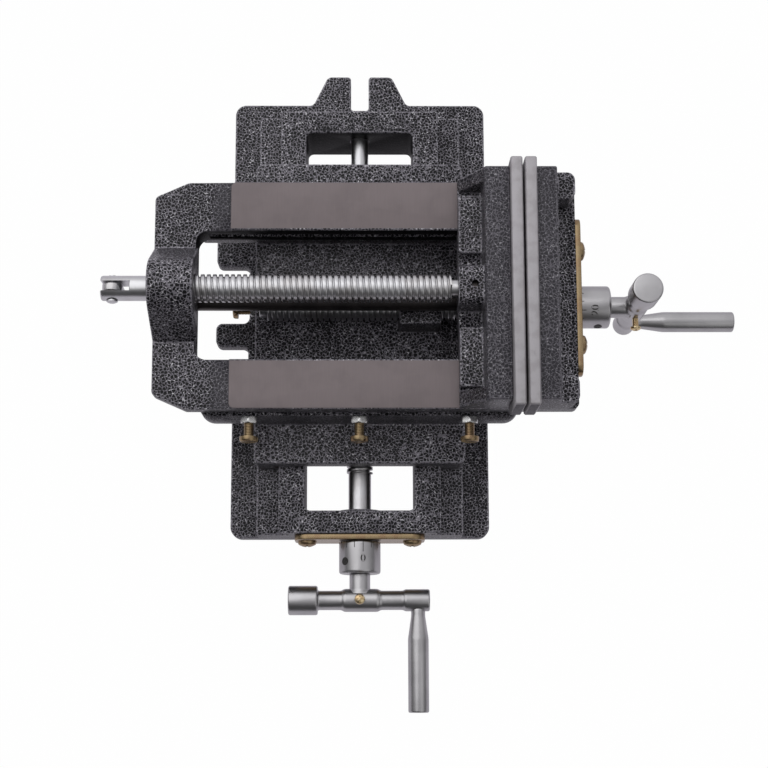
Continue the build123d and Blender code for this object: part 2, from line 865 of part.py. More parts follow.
def make_locknuts(places):
    """Three hexagon locknuts against the saddle's wall."""
    nut = extrude(RegularPolygon(locknut_width / 2, locknut_sides, major_radius=False), locknut_height)
    corner = locknut_width / 2 / math.cos(math.pi / locknut_sides)
    rim = corner + locknut_bevel_reach
    face = rim - locknut_bevel_width
    bevel = turned([(0, 0), (face, 0), (rim, locknut_bevel), (rim, locknut_height - locknut_bevel),
                    (face, locknut_height), (0, locknut_height)])
    nut = (nut & bevel) - bar_z(0, 0, gib_screw_radius + hole_gap, 0, locknut_height)
    return group([place * nut for place in places])


def body_slab():
    """Frame of the vise body seen from above, with its two cut corners at the left."""
    y = saddle_rest
    points = [(body_left, y + body_half - body_chamfer_y), (body_left, y - body_half + body_chamfer_y),
              (body_left + body_chamfer_x, y - body_half), (body_right, y - body_half),
              (body_right, y + body_half), (body_left + body_chamfer_x, y + body_half)]
    slab = along_z(points, side_flange_level, rail_paint_level, body_corner)
    pad = block((rail_start, body_right), (y - body_half, y + body_half), (rail_paint_level, rail_level))
    pad = fillet(pad.edges().filter_by(Axis.Z), body_corner)
    return slab + pad


def x_way_outline():
    """Section of the vise body's male dovetail, as (y, z) points."""
    top = x_flank(side_flange_level)
    bottom = x_flank(x_way_bottom)
    return [(saddle_rest + top, side_flange_level), (saddle_rest + bottom, x_way_bottom),
            (saddle_rest - bottom, x_way_bottom), (saddle_rest - top, side_flange_level)]


def screw_boss():
    """Arched boss over the crossbar that holds the main screw's thread."""
    foot = boss_foot_width / 2
    rise = main_screw_level - rail_paint_level
    lean = math.acos(boss_radius / math.hypot(foot, rise)) - math.atan2(rise, foot)
    touch_y = boss_radius * math.cos(lean)
    touch_z = boss_radius * math.sin(lean)
    right = (saddle_rest + touch_y, main_screw_level + touch_z)
    left = (saddle_rest - touch_y, main_screw_level + touch_z)
    crown = (saddle_rest, main_screw_level + boss_radius)
    low_right = (saddle_rest + foot, rail_paint_level)
    low_left = (saddle_rest - foot, rail_paint_level)
    outline = make_face([Line(low_left, low_right), Line(low_right, right),
                         ThreePointArc(right, crown, left), Line(left, low_left)])
    plane = Plane(origin=(body_left, 0, 0), x_dir=(0, 1, 0), z_dir=(1, 0, 0))
    return extrude(plane * outline, boss_right - body_left)


def fixed_jaw():
    """Upright fixed jaw at the right end of the rails, with the two lugs behind it."""
    back = fixed_jaw_face + fixed_jaw_depth
    profile = [(fixed_jaw_face, rail_level), (fixed_jaw_face, jaw_casting_level),
               (back, jaw_casting_level), (back + fixed_jaw_slope, rail_level)]
    wall = along_y(profile, saddle_rest - body_half, saddle_rest + body_half)
    side = saddle_rest + body_half
    lug = block((back, body_right - lug_setback), (side - lug_width, side), (rail_level, lug_top))
    lug = fillet(lug.edges().filter_by(Axis.Z).group_by(Axis.X)[-1], lug_corner)
    return joined([wall] + both_sides(lug))


def end_wall():
    """Wall below the fixed jaw that carries the X screw's bearing plate."""
    half = end_wall_width / 2
    y = saddle_rest
    points = [(y - half, end_wall_bottom), (y + half, end_wall_bottom),
              (y + half, side_flange_level), (y - half, side_flange_level)]
    radii = [end_wall_corner, end_wall_corner, 0, 0]
    return along_x(points, end_wall_left, body_right, radii)


def plate_screw_places(face_x, outward):
    """Where a jaw plate's screws start on its gripping face: local Z points out of the face."""
    return [Plane(origin=(face_x, saddle_rest + side * plate_screw_spacing / 2, plate_screw_level),
                  x_dir=(0, 1, 0), z_dir=(outward, 0, 0)) for side in (-1, 1)]


def plate_screw_holes(face_x, outward):
    """Holes of a jaw plate's screws, through the plate and into the casting."""
    hole = countersunk_hole(plate_screw_radius, plate_screw_head, plate_screw_length)
    return joined([place * hole for place in plate_screw_places(face_x, outward)])


def make_plate_screws(face_x, outward):
    """Two countersunk screws of a jaw plate."""
    screw = countersunk(plate_screw_radius, plate_screw_head, plate_screw_length)
    return group([place * screw for place in plate_screw_places(face_x, outward)])


def make_jaw_plate(back_x, face_x, outward):
    """Ground steel jaw plate between its back and its gripping face."""
    plate = block((min(back_x, face_x), max(back_x, face_x)),
                  (saddle_rest - plate_half, saddle_rest + plate_half), (plate_bottom, plate_top))
    plate = chamfer(plate.edges(), plate_chamfer)
    return plate - plate_screw_holes(face_x, outward)


def body_window():
    """The opening between the rails, with the keeper grooves along it."""
    y = saddle_rest
    points = [(window_left, y - window_half), (window_right, y - window_half),
              (window_right, y + window_half), (window_left, y + window_half)]
    radii = [window_corner, window_right_corner, window_right_corner, window_corner]
    window = along_z(points, x_way_bottom, rail_level, radii)
    reach = window_half + keeper_groove_depth
    groove = block((window_left + window_corner, window_right - window_right_corner), (y - reach, y + reach),
                   (keeper_level - loose_gap, keeper_level + keeper_thickness + loose_gap))
    return window + groove


def make_vise_body():
    """Vise body casting with rails, crossbar, screw boss, fixed jaw, end wall and dovetail."""
    body = body_slab() + along_x(x_way_outline(), body_left, body_right)
    body = body - body_window()
    body = body + screw_boss() + fixed_jaw() + end_wall()
    body = body - bar_x(saddle_rest, main_screw_level, thread_bore, body_left, boss_right)
    rod_bore = guide_rod_radius + hole_gap
    body = body - bar_x(saddle_rest, guide_rod_level, rod_bore, body_left, window_left)
    body = body - bar_x(saddle_rest, guide_rod_level, rod_bore, window_right, window_right + guide_rod_seat)
    body = body - bearing_bores(screw_place_x(), body_right - end_wall_left, x_plate_screws())
    return body - plate_screw_holes(fixed_plate_face, -1)


def make_guide_rod():
    """Smooth rod between the crossbar and the web under the fixed jaw."""
    end = window_right + guide_rod_seat - hole_gap
    return bar_x(saddle_rest, guide_rod_level, guide_rod_radius, body_left + guide_rod_recess, end)


def jaw_blocks():
    """Upright back of the movable jaw with its stepped blocks and sloping end webs."""
    y = saddle_rest
    back = block((jaw_step_front, jaw_front), (y - body_half, y + body_half), (jaw_floor, jaw_casting_level))
    back = fillet(back.edges().filter_by(Axis.Y).group_by(Axis.Z)[-1].sort_by(Axis.X)[0], jaw_edge_radius)
    foot = block((jaw_rear, jaw_step_front), (y - body_half, y + body_half), (jaw_floor, jaw_base_level))
    step = block((jaw_rear, jaw_step_front), (y + jaw_step_inner, y + jaw_step_outer),
                 (jaw_base_level, jaw_step_level))
    step = fillet(step.edges().filter_by(Axis.Z).group_by(Axis.X)[0], jaw_step_corner)
    web_profile = [(jaw_rear, jaw_base_level), (jaw_step_front, jaw_base_level),
                   (jaw_step_front, jaw_casting_level - jaw_edge_radius)]
    web = along_y(web_profile, y + body_half - jaw_web_thickness, y + body_half)
    return joined([back, foot] + both_sides(step) + both_sides(web))


def jaw_nose():
    """Middle boss of the movable jaw that takes the screw's end."""
    y = saddle_rest
    nose = block((jaw_rear - jaw_boss_reach, jaw_step_front), (y - jaw_boss_half, y + jaw_boss_half),
                 (jaw_floor, jaw_boss_level))
    return fillet(nose.edges().filter_by(Axis.X).group_by(Axis.Z)[-1], jaw_boss_corner)


def jaw_guide():
    """Tongue between the rails and the boss below it that slides on the guide rod."""
    y = saddle_rest
    tongue = block((jaw_rear, jaw_front - loose_gap), (y - tongue_half, y + tongue_half),
                   (tongue_bottom, jaw_floor))
    boss = block((jaw_rear, jaw_front - loose_gap), (y - guide_boss_half, y + guide_boss_half),
                 (guide_boss_level, tongue_bottom))
    boss = fillet(boss.edges().filter_by(Axis.X).group_by(Axis.Z)[0], guide_boss_corner)
    return tongue + boss


def keeper_screw_places():
    """Where the keepers' screws start on the keepers' undersides: local Z points down."""
    x = (jaw_rear + jaw_front) / 2
    offsets = [side * offset for side in (-1, 1) for offset in (keeper_screw_inner, keeper_screw_outer)]
    return [Plane(origin=(x, saddle_rest + offset, keeper_level), x_dir=(1, 0, 0), z_dir=(0, 0, -1))
            for offset in offsets]


def keeper_screw_holes():
    """Holes of the keepers' screws, through the keepers and into the tongue."""
    hole = countersunk_hole(keeper_screw_radius, keeper_screw_head, keeper_screw_length)
    return joined([place * hole for place in keeper_screw_places()])


def make_movable_jaw():
    """Movable jaw casting."""
    jaw = jaw_blocks() + jaw_nose() + jaw_guide()
    start = jaw_rear - jaw_boss_reach
    end = start + journal_bore_depth
    jaw = jaw - bar_x(saddle_rest, main_screw_level, neck_radius + running_gap, start, end)
    rod = bar_x(saddle_rest, guide_rod_level, guide_rod_radius + running_gap, jaw_rear, jaw_front)
    jaw = jaw - rod
    jaw = jaw - bar_z(retaining_hole_x, saddle_rest, retaining_pin_radius + hole_gap,
                      main_screw_level, jaw_boss_level)
    return jaw - plate_screw_holes(movable_plate_face, 1) - keeper_screw_holes()


def make_retaining_pin():
    """Pin whose tip stands in the groove of the main screw's neck."""
    tip = main_screw_level + groove_radius + loose_gap
    top = jaw_boss_level - retaining_pin_depth
    return bar_z(retaining_hole_x, saddle_rest, retaining_pin_radius, tip, top)


def make_keepers():
    """Two plates under the tongue, with their outer edges in the rails' grooves."""
    middle = (jaw_rear + jaw_front) / 2
    inner = guide_boss_half + loose_gap
    plate = block((middle - keeper_length / 2, middle + keeper_length / 2),
                  (saddle_rest + inner, saddle_rest + window_half + keeper_reach),
                  (keeper_level, keeper_level + keeper_thickness))
    holes = keeper_screw_holes()
    return group([part - holes for part in both_sides(plate)])


def make_keeper_screws():
    """Four countersunk screws of the keepers."""
    screw = countersunk(keeper_screw_radius, keeper_screw_head, keeper_screw_length)
    return group([place * screw for place in keeper_screw_places()])


def make_main_screw():
    """Main screw with its forked left end, plain thread stand-in and grooved neck."""
    groove_half = retaining_pin_radius + loose_gap
    neck_end = main_thread_right + neck_length
    bar = stepped([
        (main_screw_left, main_thread_left, shank_radius),
        (main_thread_left, main_thread_right, thread_radius),
        (main_thread_right, retaining_hole_x - groove_half, neck_radius),
        (retaining_hole_x - groove_half, retaining_hole_x + groove_half, groove_radius),
        (retaining_hole_x + groove_half, neck_end, neck_radius),
    ])
    screw = Pos(0, saddle_rest, main_screw_level) * Rot(0, 90, 0) * bar
    half = clevis_slot_width / 2
    slot = block((main_screw_left, main_screw_left + clevis_slot_depth),
                 (saddle_rest - half, saddle_rest + half),
                 (main_screw_level - shank_radius, main_screw_level + shank_radius))
    screw = screw - slot
    return screw - bar_y(clevis_pin_x, main_screw_level, clevis_pin_radius + hole_gap,
                         saddle_rest - shank_radius, saddle_rest + shank_radius)


def make_clevis_pin():
    """Headed pin through the fork of the main screw."""
    pin = bar_y(clevis_pin_x, main_screw_level, clevis_pin_radius,
                saddle_rest - shank_radius, saddle_rest + shank_radius)
    face = Plane(origin=(clevis_pin_x, saddle_rest - shank_radius, main_screw_level),
                 x_dir=(1, 0, 0), z_dir=(0, -1, 0))
    return pin + face * pan_head(clevis_head_radius, clevis_head_height)


def make_handle_link():
    """Flat link with an eye on the fork's pin and a hole below for a handle."""
    half = link_thickness / 2
    low = main_screw_level - link_length
    x = clevis_pin_x
    start = saddle_rest - half
    end = saddle_rest + half
    eye = bar_y(x, main_screw_level, link_eye_radius, start, end)
    foot = bar_y(x, low, link_end_radius, start, end)
    web = along_y([(x - link_eye_radius, main_screw_level), (x + link_eye_radius, main_screw_level),
                   (x + link_end_radius, low), (x - link_end_radius, low)], start, end)
    link = eye + foot + web
    link = link - bar_y(x, main_screw_level, clevis_pin_radius + running_gap, start, end)
    return link - bar_y(x, low, link_hole_radius, start, end)


def export_all():
    """Write each sub-part to its own STEP file."""
    y_out = screw_place_y()
    x_out = screw_place_x()
    y_tip = opening_rear + y_tail_length - y_tail_clearance - loose_gap - y_screw_face
    x_tip = x_screw_face - x_screw_left
    parts = {
        "base": make_base(),
        "y_bearing_plate": make_bearing_plate(y_out, y_plate_outline(), y_plate_screws()),
        "y_plate_screws": make_bearing_screws(y_out, y_plate_screws()),
        "y_lead_screw": make_lead_screw(y_out, y_smooth_length, y_tail_length, y_tail_radius, y_tip),
        "y_dial": make_dial(y_out, y_dial_hole_turn),
        "y_dial_set_screw": make_dial_screw(y_out, y_dial_hole_turn),
        "y_crank_arm": make_crank_arm(y_out, 1),
        "y_crank_grip": make_crank_grip(y_out),
        "y_crank_set_screw": make_crank_set_screw(y_out, 1),
        "saddle": make_saddle(),
        "x_nut": make_x_nut(),
        "x_nut_screws": make_x_nut_screws(),
        "y_nut": make_y_nut(),
        "y_nut_screws": make_y_nut_screws(),
        "x_gib": make_x_gib(),
        "y_gib": make_y_gib(),
        "x_gib_screws": make_gib_screws(x_gib_screw_places(), gib_wall_x()),
        "x_gib_locknuts": make_locknuts(x_gib_screw_places()),
        "y_gib_screws": make_gib_screws(y_gib_screw_places(), gib_wall_y()),
        "y_gib_locknuts": make_locknuts(y_gib_screw_places()),
        "vise_body": make_vise_body(),
        "fixed_jaw_plate": make_jaw_plate(fixed_jaw_face, fixed_plate_face, -1),
        "fixed_plate_screws": make_plate_screws(fixed_plate_face, -1),
        "x_bearing_plate": make_bearing_plate(x_out, x_plate_outline(), x_plate_screws()),
        "x_plate_screws": make_bearing_screws(x_out, x_plate_screws()),
        "guide_rod": make_guide_rod(),
        "x_lead_screw": make_lead_screw(x_out, x_smooth_length, x_tail_length, x_tail_radius, x_tip),
        "x_dial": make_dial(x_out, x_dial_hole_turn),
        "x_dial_set_screw": make_dial_screw(x_out, x_dial_hole_turn),
        "x_crank_arm": make_crank_arm(x_out, -1),
        "x_crank_grip": make_crank_grip(x_out),
        "x_crank_set_screw": make_crank_set_screw(x_out, -1),
        "movable_jaw": make_movable_jaw(),
        "movable_jaw_plate": make_jaw_plate(jaw_front, movable_plate_face, 1),
        "movable_plate_screws": make_plate_screws(movable_plate_face, 1),
        "jaw_keepers": make_keepers(),
        "keeper_screws": make_keeper_screws(),
        "jaw_retaining_pin": make_retaining_pin(),
        "main_screw": make_main_screw(),
        "clevis_pin": make_clevis_pin(),
        "handle_link": make_handle_link(),
    }
    os.makedirs("parts", exist_ok=True)
    for name, part in parts.items():
        export_step(part, f"parts/{name}.step")


export_all()
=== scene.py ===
import json
import logging
import math
from dataclasses import dataclass
from enum import Enum
from typing import Sequence

import bmesh
import bpy
import numpy as np
from mathutils import Matrix, Vector

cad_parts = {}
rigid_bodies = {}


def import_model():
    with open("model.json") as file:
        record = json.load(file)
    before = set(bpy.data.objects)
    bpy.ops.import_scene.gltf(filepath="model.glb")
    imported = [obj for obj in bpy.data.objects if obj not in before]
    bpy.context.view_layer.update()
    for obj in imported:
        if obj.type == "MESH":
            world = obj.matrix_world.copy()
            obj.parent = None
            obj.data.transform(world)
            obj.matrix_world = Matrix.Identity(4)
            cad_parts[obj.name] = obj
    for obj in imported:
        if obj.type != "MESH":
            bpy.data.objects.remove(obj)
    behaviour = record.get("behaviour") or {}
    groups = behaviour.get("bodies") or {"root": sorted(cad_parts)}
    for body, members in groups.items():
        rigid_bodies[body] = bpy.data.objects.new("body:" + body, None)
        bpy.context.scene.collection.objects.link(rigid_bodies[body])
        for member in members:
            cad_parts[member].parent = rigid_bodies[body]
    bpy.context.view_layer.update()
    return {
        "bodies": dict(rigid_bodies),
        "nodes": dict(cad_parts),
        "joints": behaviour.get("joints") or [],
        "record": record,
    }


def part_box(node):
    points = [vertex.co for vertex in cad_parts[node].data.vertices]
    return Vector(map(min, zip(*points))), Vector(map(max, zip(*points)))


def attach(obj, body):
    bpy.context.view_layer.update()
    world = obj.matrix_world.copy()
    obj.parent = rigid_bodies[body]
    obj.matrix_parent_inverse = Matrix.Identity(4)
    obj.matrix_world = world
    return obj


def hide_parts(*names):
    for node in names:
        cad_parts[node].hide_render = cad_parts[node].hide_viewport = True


LOG = logging.getLogger("vise")
MM = 0.001
FULL_TURN = 2 * math.pi
IMAGE_PIXELS = 768
MERGE_DISTANCE = 0.0005 * MM

# Range that most values of a noise lie in
NOISE_SPAN = (0.3, 0.7)

# Material indices of a piece with softened edges. On paint the edge index carries painted highlights and the
# hollow index painted shade; on a jaw plate the bare one is for its ends.
PLAIN, EDGE, BARE, HOLLOW = range(4)

# Largest share of a profile's side that the rounding of one corner takes
ROUNDING_SHARE = 0.45

# Rows of points over one turn of a thread: where each lies, as a share of the pitch, and how high it
# stands over the groove's floor, as a share of the groove's depth
THREAD_PHASES = np.array([0.0, 0.05, 0.08, 0.11, 0.19, 0.23, 0.28, 0.50, 0.72, 0.77, 0.81, 0.89, 0.92, 0.95])
THREAD_HEIGHTS = np.array([0.0, 0.0, 0.03, 0.12, 0.88, 0.97, 1.0, 1.0, 1.0, 0.97, 0.88, 0.12, 0.03, 0.0])

Colour = tuple[float, float, float]
Point = tuple[float, float, float]
Span = tuple[float, float]
Socket = bpy.types.NodeSocket


class Slot(Enum):
    """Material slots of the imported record."""

    PAINT = "hammertone_iron"
    IRON = "machined_iron"
    JAW = "jaw_plate_steel"
    BRIGHT = "bright_steel"
    DARK = "dark_rod_steel"
    SATIN = "satin_steel"
    YELLOW = "yellow_zinc"
    SILVER = "silver_zinc"
    BRASS = "brass_screw"


class Grain(Enum):
    """How far a surface's fine marks are stretched along each axis: a small number is a long mark."""

    EVEN = (1.0, 1.0, 1.0)
    ALONG_X = (0.04, 1.0, 1.0)
    ALONG_Y = (1.0, 0.04, 1.0)
    AROUND_X = (1.0, 0.12, 0.12)


class Recess(Enum):
    """Drive recess of a screw head."""

    CROSS = "cross"
    SLOT = "slot"


# Shader nodes


class Nodes:
    """A node tree with short calls for adding and joining nodes."""

    def __init__(self, tree: bpy.types.NodeTree, output: str) -> None:
        """Empty a tree and add its output.

        Args:
            tree: The tree of a material or of the world.
            output: Blender's name of the output node's type.
        """
        self.tree = tree
        self.tree.nodes.clear()
        self.output = self.tree.nodes.new(output)

    def add(self, kind: str, inputs: dict | None = None, **settings: object) -> bpy.types.Node:
        """Add a node.

        Args:
            kind: Blender's name of the node type.
            inputs: Values or sockets for the node's inputs, by name or number.
            settings: Attributes of the node.

        Returns:
            The new node.
        """
        node = self.tree.nodes.new(kind)
        for key, value in settings.items():
            setattr(node, key, value)
        for key, value in (inputs or {}).items():
            if isinstance(value, Socket):
                self.tree.links.new(value, node.inputs[key])
            else:
                node.inputs[key].default_value = value
        return node

    def combine(self, operation: str, first: Socket, second: Socket | float) -> Socket:
        """The sum, product or maximum of two values, by Blender's name of the operation."""
        return self.add("ShaderNodeMath", {0: first, 1: second}, operation=operation).outputs[0]

    def ramp(self, value: Socket, low: float, high: float, start: float = 0.0, end: float = 1.0) -> Socket:
        """A value that goes smoothly from start to end while another goes from low to high."""
        inputs = {"Value": value, "From Min": low, "From Max": high, "To Min": start, "To Max": end}
        return self.add("ShaderNodeMapRange", inputs, interpolation_type="SMOOTHSTEP").outputs["Result"]

    def finish(self, shader: Socket) -> None:
        """Join a shader to the output."""
        self.tree.links.new(shader, self.output.inputs["Surface"])


class Shader(Nodes):
    """A material's node tree, whose textures read object coordinates."""

    def __init__(self, name: str) -> None:
        """Start an empty material.

        Args:
            name: The material's name.
        """
        self.material = bpy.data.materials.new(name)
        self.material.use_nodes = True
        super().__init__(self.material.node_tree, "ShaderNodeOutputMaterial")
        self.place = self.add("ShaderNodeTexCoord").outputs["Object"]

    def noise(self, size: float, detail: float = 2.0, grain: Grain = Grain.EVEN) -> Socket:
        """Noise from 0 to 1.

        Args:
            size: Width of a typical spot, in metres.
            detail: Number of finer layers.
            grain: Direction of the marks.

        Returns:
            The noise's value socket.
        """
        stretched = self.add("ShaderNodeMapping", {"Vector": self.place, "Scale": grain.value})
        inputs = {"Vector": stretched.outputs["Vector"], "Scale": 1 / size, "Detail": detail}
        return self.add("ShaderNodeTexNoise", inputs).outputs["Fac"]

    def blend(self, amount: Socket, low: Colour | Socket, high: Colour | Socket) -> Socket:
        """A colour between two others."""
        node = self.add("ShaderNodeMix", data_type="RGBA")
        self.tree.links.new(amount, node.inputs["Factor"])
        for socket, colour in ((node.inputs[6], low), (node.inputs[7], high)):
            if isinstance(colour, Socket):
                self.tree.links.new(colour, socket)
            else:
                socket.default_value = (*colour, 1.0)
        return node.outputs[2]

    def bump(self, height: Socket, depth: float, under: Socket | None = None) -> Socket:
        """A surface normal tipped by a height.

        Args:
            height: Height from 0 to 1.
            depth: What a height of 1 stands for, in metres.
            under: Another bump's normal below this one.

        Returns:
            The normal socket.
        """
        inputs = {"Height": height, "Distance": depth, "Strength": 1.0}
        if under is not None:
            inputs["Normal"] = under
        return self.add("ShaderNodeBump", inputs).outputs["Normal"]

    def surface(self, inputs: dict) -> bpy.types.Material:
        """Finish the material with a Principled surface.

        Args:
            inputs: Values or sockets of the Principled node.

        Returns:
            The material.
        """
        self.finish(self.add("ShaderNodeBsdfPrincipled", inputs).outputs["BSDF"])
        return self.material


# Finishes


@dataclass(frozen=True)
class HammertonePaint:
    """Black enamel in which pale metal flakes gather into a net around dark drops."""

    name: str = "hammertone paint"
    dark: Colour = (0.003, 0.003, 0.004)
    flake: Colour = (0.200, 0.190, 0.214)
    bright_flake: Colour = (0.66, 0.65, 0.68)
    smooth: Colour = (0.056, 0.053, 0.062)
    drop_size: float = 1.65 * MM
    fleck_size: float = 0.8 * MM
    fleck_stir: float = 0.06
    patch_size: float = 26 * MM
    patch_stir: float = 0.02
    sparkle_size: float = 0.96 * MM
    sparkle_span: Span = (0.56, 0.72)
    net_full: float = 0.01
    net_end: float = 0.14
    net_depth: float = 0.04 * MM
    cast_size: float = 5 * MM
    cast_depth: float = 0.10 * MM
    shine: float = 0.3
    rough: Span = (0.34, 0.46)
    specular: float = 0.15
    coat: float = 0.06
    coat_rough: float = 0.2
    smooth_share: float = 0.55
    jaw_top: Span = (101 * MM, 103 * MM)
    jaw_side: Span = (28 * MM, 34 * MM)
    rail_top: Span = (76.5 * MM, 77.5 * MM)
    rail_start: Span = (-79 * MM, -69 * MM)
    rail_stop: Span = (-40 * MM, -30 * MM)

    def build(self) -> bpy.types.Material:
        """Make the material.

        The net lies where the distance to the wall between two drops, stirred by a fine noise, is
        small. It thins out in wide patches, and the brightest flakes sit in it at random. On the jaws'
        tops and beside the milled rails the paint is smoother, and the net fades into one grey.
        """
        shader = Shader(self.name)
        drops = shader.add("ShaderNodeTexVoronoi", {"Vector": shader.place, "Scale": 1 / self.drop_size},
                           feature="DISTANCE_TO_EDGE")
        fleck = shader.noise(self.fleck_size, detail=1.0)
        stir = shader.ramp(fleck, *NOISE_SPAN, -self.fleck_stir, self.fleck_stir)
        patch = shader.ramp(shader.noise(self.patch_size), *NOISE_SPAN, -self.patch_stir, self.patch_stir)
        far = shader.combine("ADD", shader.combine("ADD", drops.outputs["Distance"], stir), patch)
        net = shader.ramp(far, self.net_full, self.net_end, 1.0, 0.0)
        sparkle = shader.ramp(shader.noise(self.sparkle_size, detail=1.0), *self.sparkle_span)
        grey = shader.blend(sparkle, self.flake, self.bright_flake)
        grey = shader.blend(net, self.dark, grey)
        normal = shader.bump(shader.noise(self.cast_size, detail=3.0), self.cast_depth)
        normal = shader.bump(net, self.net_depth, under=normal)
        return shader.surface({
            "Base Color": shader.blend(self.smoothness(shader), grey, self.smooth),
            "Metallic": shader.ramp(net, 0, 1, 0.0, self.shine),
            "Roughness": shader.ramp(net, 0, 1, *self.rough),
            "Normal": normal,
            "Specular IOR Level": self.specular,
            "Coat Weight": self.coat,
            "Coat Roughness": self.coat_rough,
        })

    def smoothness(self, shader: Shader) -> Socket:
        """How smooth the paint is at a point: the jaws' tops or the band beside the milled rails."""
        place = shader.add("ShaderNodeSeparateXYZ", {0: shader.place}).outputs
        top, side = shader.ramp(place["Z"], *self.jaw_top), shader.ramp(place["X"], *self.jaw_side)
        start = shader.ramp(place["X"], *self.rail_start)
        stop = shader.ramp(place["X"], *self.rail_stop, 1.0, 0.0)
        band = shader.combine("MULTIPLY", start, stop)
        band = shader.combine("MULTIPLY", band, shader.ramp(place["Z"], *self.rail_top))
        either = shader.combine("MAXIMUM", shader.combine("MULTIPLY", top, side), band)
        return shader.ramp(either, 0.0, 1.0, 0.0, self.smooth_share)


@dataclass(frozen=True)
class CutMetal:
    """Bare metal with fine tool marks and faint stains."""

    name: str
    colour: Colour
    stain: Colour
    metallic: float = 1.0
    rough: Span = (0.30, 0.42)
    mark_size: float = 0.35 * MM
    mark_depth: float = 0.002 * MM
    stain_size: float = 14 * MM
    stain_span: Span = (0.42, 0.66)
    grain: Grain = Grain.EVEN

    def build(self) -> bpy.types.Material:
        """Make the material: roughness and marks follow a stretched noise, stains a wide one."""
        shader = Shader(self.name)
        marks = shader.noise(self.mark_size, detail=3.0, grain=self.grain)
        stains = shader.ramp(shader.noise(self.stain_size, detail=4.0), *self.stain_span)
        return shader.surface({
            "Base Color": shader.blend(stains, self.colour, self.stain),
            "Metallic": self.metallic,
            "Roughness": shader.ramp(marks, *NOISE_SPAN, *self.rough),
            "Normal": shader.bump(marks, self.mark_depth),
        })


@dataclass(frozen=True)
class Ink:
    """Dark fill of an engraved mark."""

    name: str = "engraved mark"
    colour: Colour = (0.018, 0.017, 0.017)
    worn: Colour = (0.07, 0.065, 0.06)
    wear_size: float = 0.4 * MM
    wear_span: Span = (0.35, 0.75)
    rough: float = 0.6

    def build(self) -> bpy.types.Material:
        """Make the material, with a little uneven wear."""
        shader = Shader(self.name)
        wear = shader.ramp(shader.noise(self.wear_size), *self.wear_span)
        colour = shader.blend(wear, self.colour, self.worn)
        return shader.surface({"Base Color": colour, "Roughness": self.rough})


Finish = HammertonePaint | CutMetal | Ink

FINISHES = {
    Slot.PAINT: HammertonePaint(),
    Slot.IRON: CutMetal("milled iron", (0.195, 0.164, 0.166), (0.178, 0.150, 0.152), metallic=0.3,
                        rough=(0.55, 0.65), mark_depth=0.006 * MM, grain=Grain.ALONG_Y),
    Slot.JAW: CutMetal("ground jaw steel", (0.41, 0.395, 0.41), (0.35, 0.335, 0.345), metallic=0.45,
                       rough=(0.42, 0.6), mark_size=0.5 * MM, mark_depth=0.02 * MM, stain_size=6 * MM),
    Slot.BRIGHT: CutMetal("bright steel", (0.58, 0.58, 0.59), (0.50, 0.49, 0.49), rough=(0.28, 0.36),
                          grain=Grain.AROUND_X),
    Slot.DARK: CutMetal("dark rod steel", (0.090, 0.080, 0.078), (0.060, 0.054, 0.054), metallic=0.8,
                        grain=Grain.ALONG_X),
    Slot.SATIN: CutMetal("satin steel", (0.43, 0.425, 0.43), (0.38, 0.375, 0.38), rough=(0.28, 0.34),
                         mark_depth=0.001 * MM),
    Slot.YELLOW: CutMetal("yellow zinc", (0.28, 0.21, 0.12), (0.25, 0.17, 0.10), rough=(0.24, 0.34),
                          stain_size=5 * MM),
    Slot.SILVER: CutMetal("silver zinc", (0.74, 0.74, 0.72), (0.66, 0.66, 0.66), rough=(0.22, 0.32)),
    Slot.BRASS: CutMetal("plain brass", (0.66, 0.54, 0.33), (0.56, 0.40, 0.22), rough=(0.20, 0.30),
                         stain_size=3 * MM),
}

# Painted highlights: the rounded edges of the castings get lighter paint, with a fuller net of pale flakes,
# for the light that edges catch.
EDGE_HIGHLIGHT_PAINT = HammertonePaint("hammertone paint with painted edge highlights", dark=(0.02, 0.02, 0.023), flake=(0.22, 0.21, 0.235),
                             bright_flake=(0.65, 0.64, 0.67), net_full=0.06, net_end=0.32)
# Painted shade: near-black paint without sheen on the walls inside the openings, where shade falls.
HOLLOW_SHADE_PAINT = HammertonePaint("painted shade inside the openings", dark=(0.001, 0.001, 0.001),
                               flake=(0.012, 0.011, 0.013), bright_flake=(0.05, 0.05, 0.055), shine=0.0,
                               specular=0.03, coat=0.0, smooth_share=0.0)
# A darker, purplish finish for the ends of the jaw plates than for their ground tops.
DARK_PLATE_END = CutMetal("darker plate end", (0.085, 0.080, 0.092), (0.045, 0.042, 0.048), metallic=0.3,
                     rough=(0.5, 0.65), mark_depth=0.01 * MM, stain_size=3 * MM)
# Painted shade: a near-black ink for the thin disc that stands for a hole's shaded inside.
HOLE_SHADE_INK = Ink("painted shade of a hole", (0.004, 0.004, 0.004))


class Palette:
    """Makes each finish once and hands it out."""

    def __init__(self) -> None:
        """Start with nothing made."""
        self.made: dict[str, bpy.types.Material] = {}

    def of(self, finish: Finish) -> bpy.types.Material:
        """The material of a finish."""
        if finish.name not in self.made:
            self.made[finish.name] = finish.build()
        return self.made[finish.name]


# Shapes


@dataclass(frozen=True)
class Station:
    """A place on the object: local Z points out, local X to one side."""

    origin: Point
    out: Point
    side: Point

    def world(self, points: np.ndarray) -> np.ndarray:
        """Local points in the object's frame: origin plus each coordinate times its direction."""
        out = np.array(self.out, float)
        side = np.array(self.side, float)
        return np.array(self.origin) + points @ np.array([side, np.cross(out, side), out])

    def moved(self, x: float = 0.0, y: float = 0.0, z: float = 0.0) -> "Station":
        """The same directions at a place given in local coordinates."""
        place = self.world(np.array([[x, y, z]]))[0]
        return Station(tuple(place), self.out, self.side)


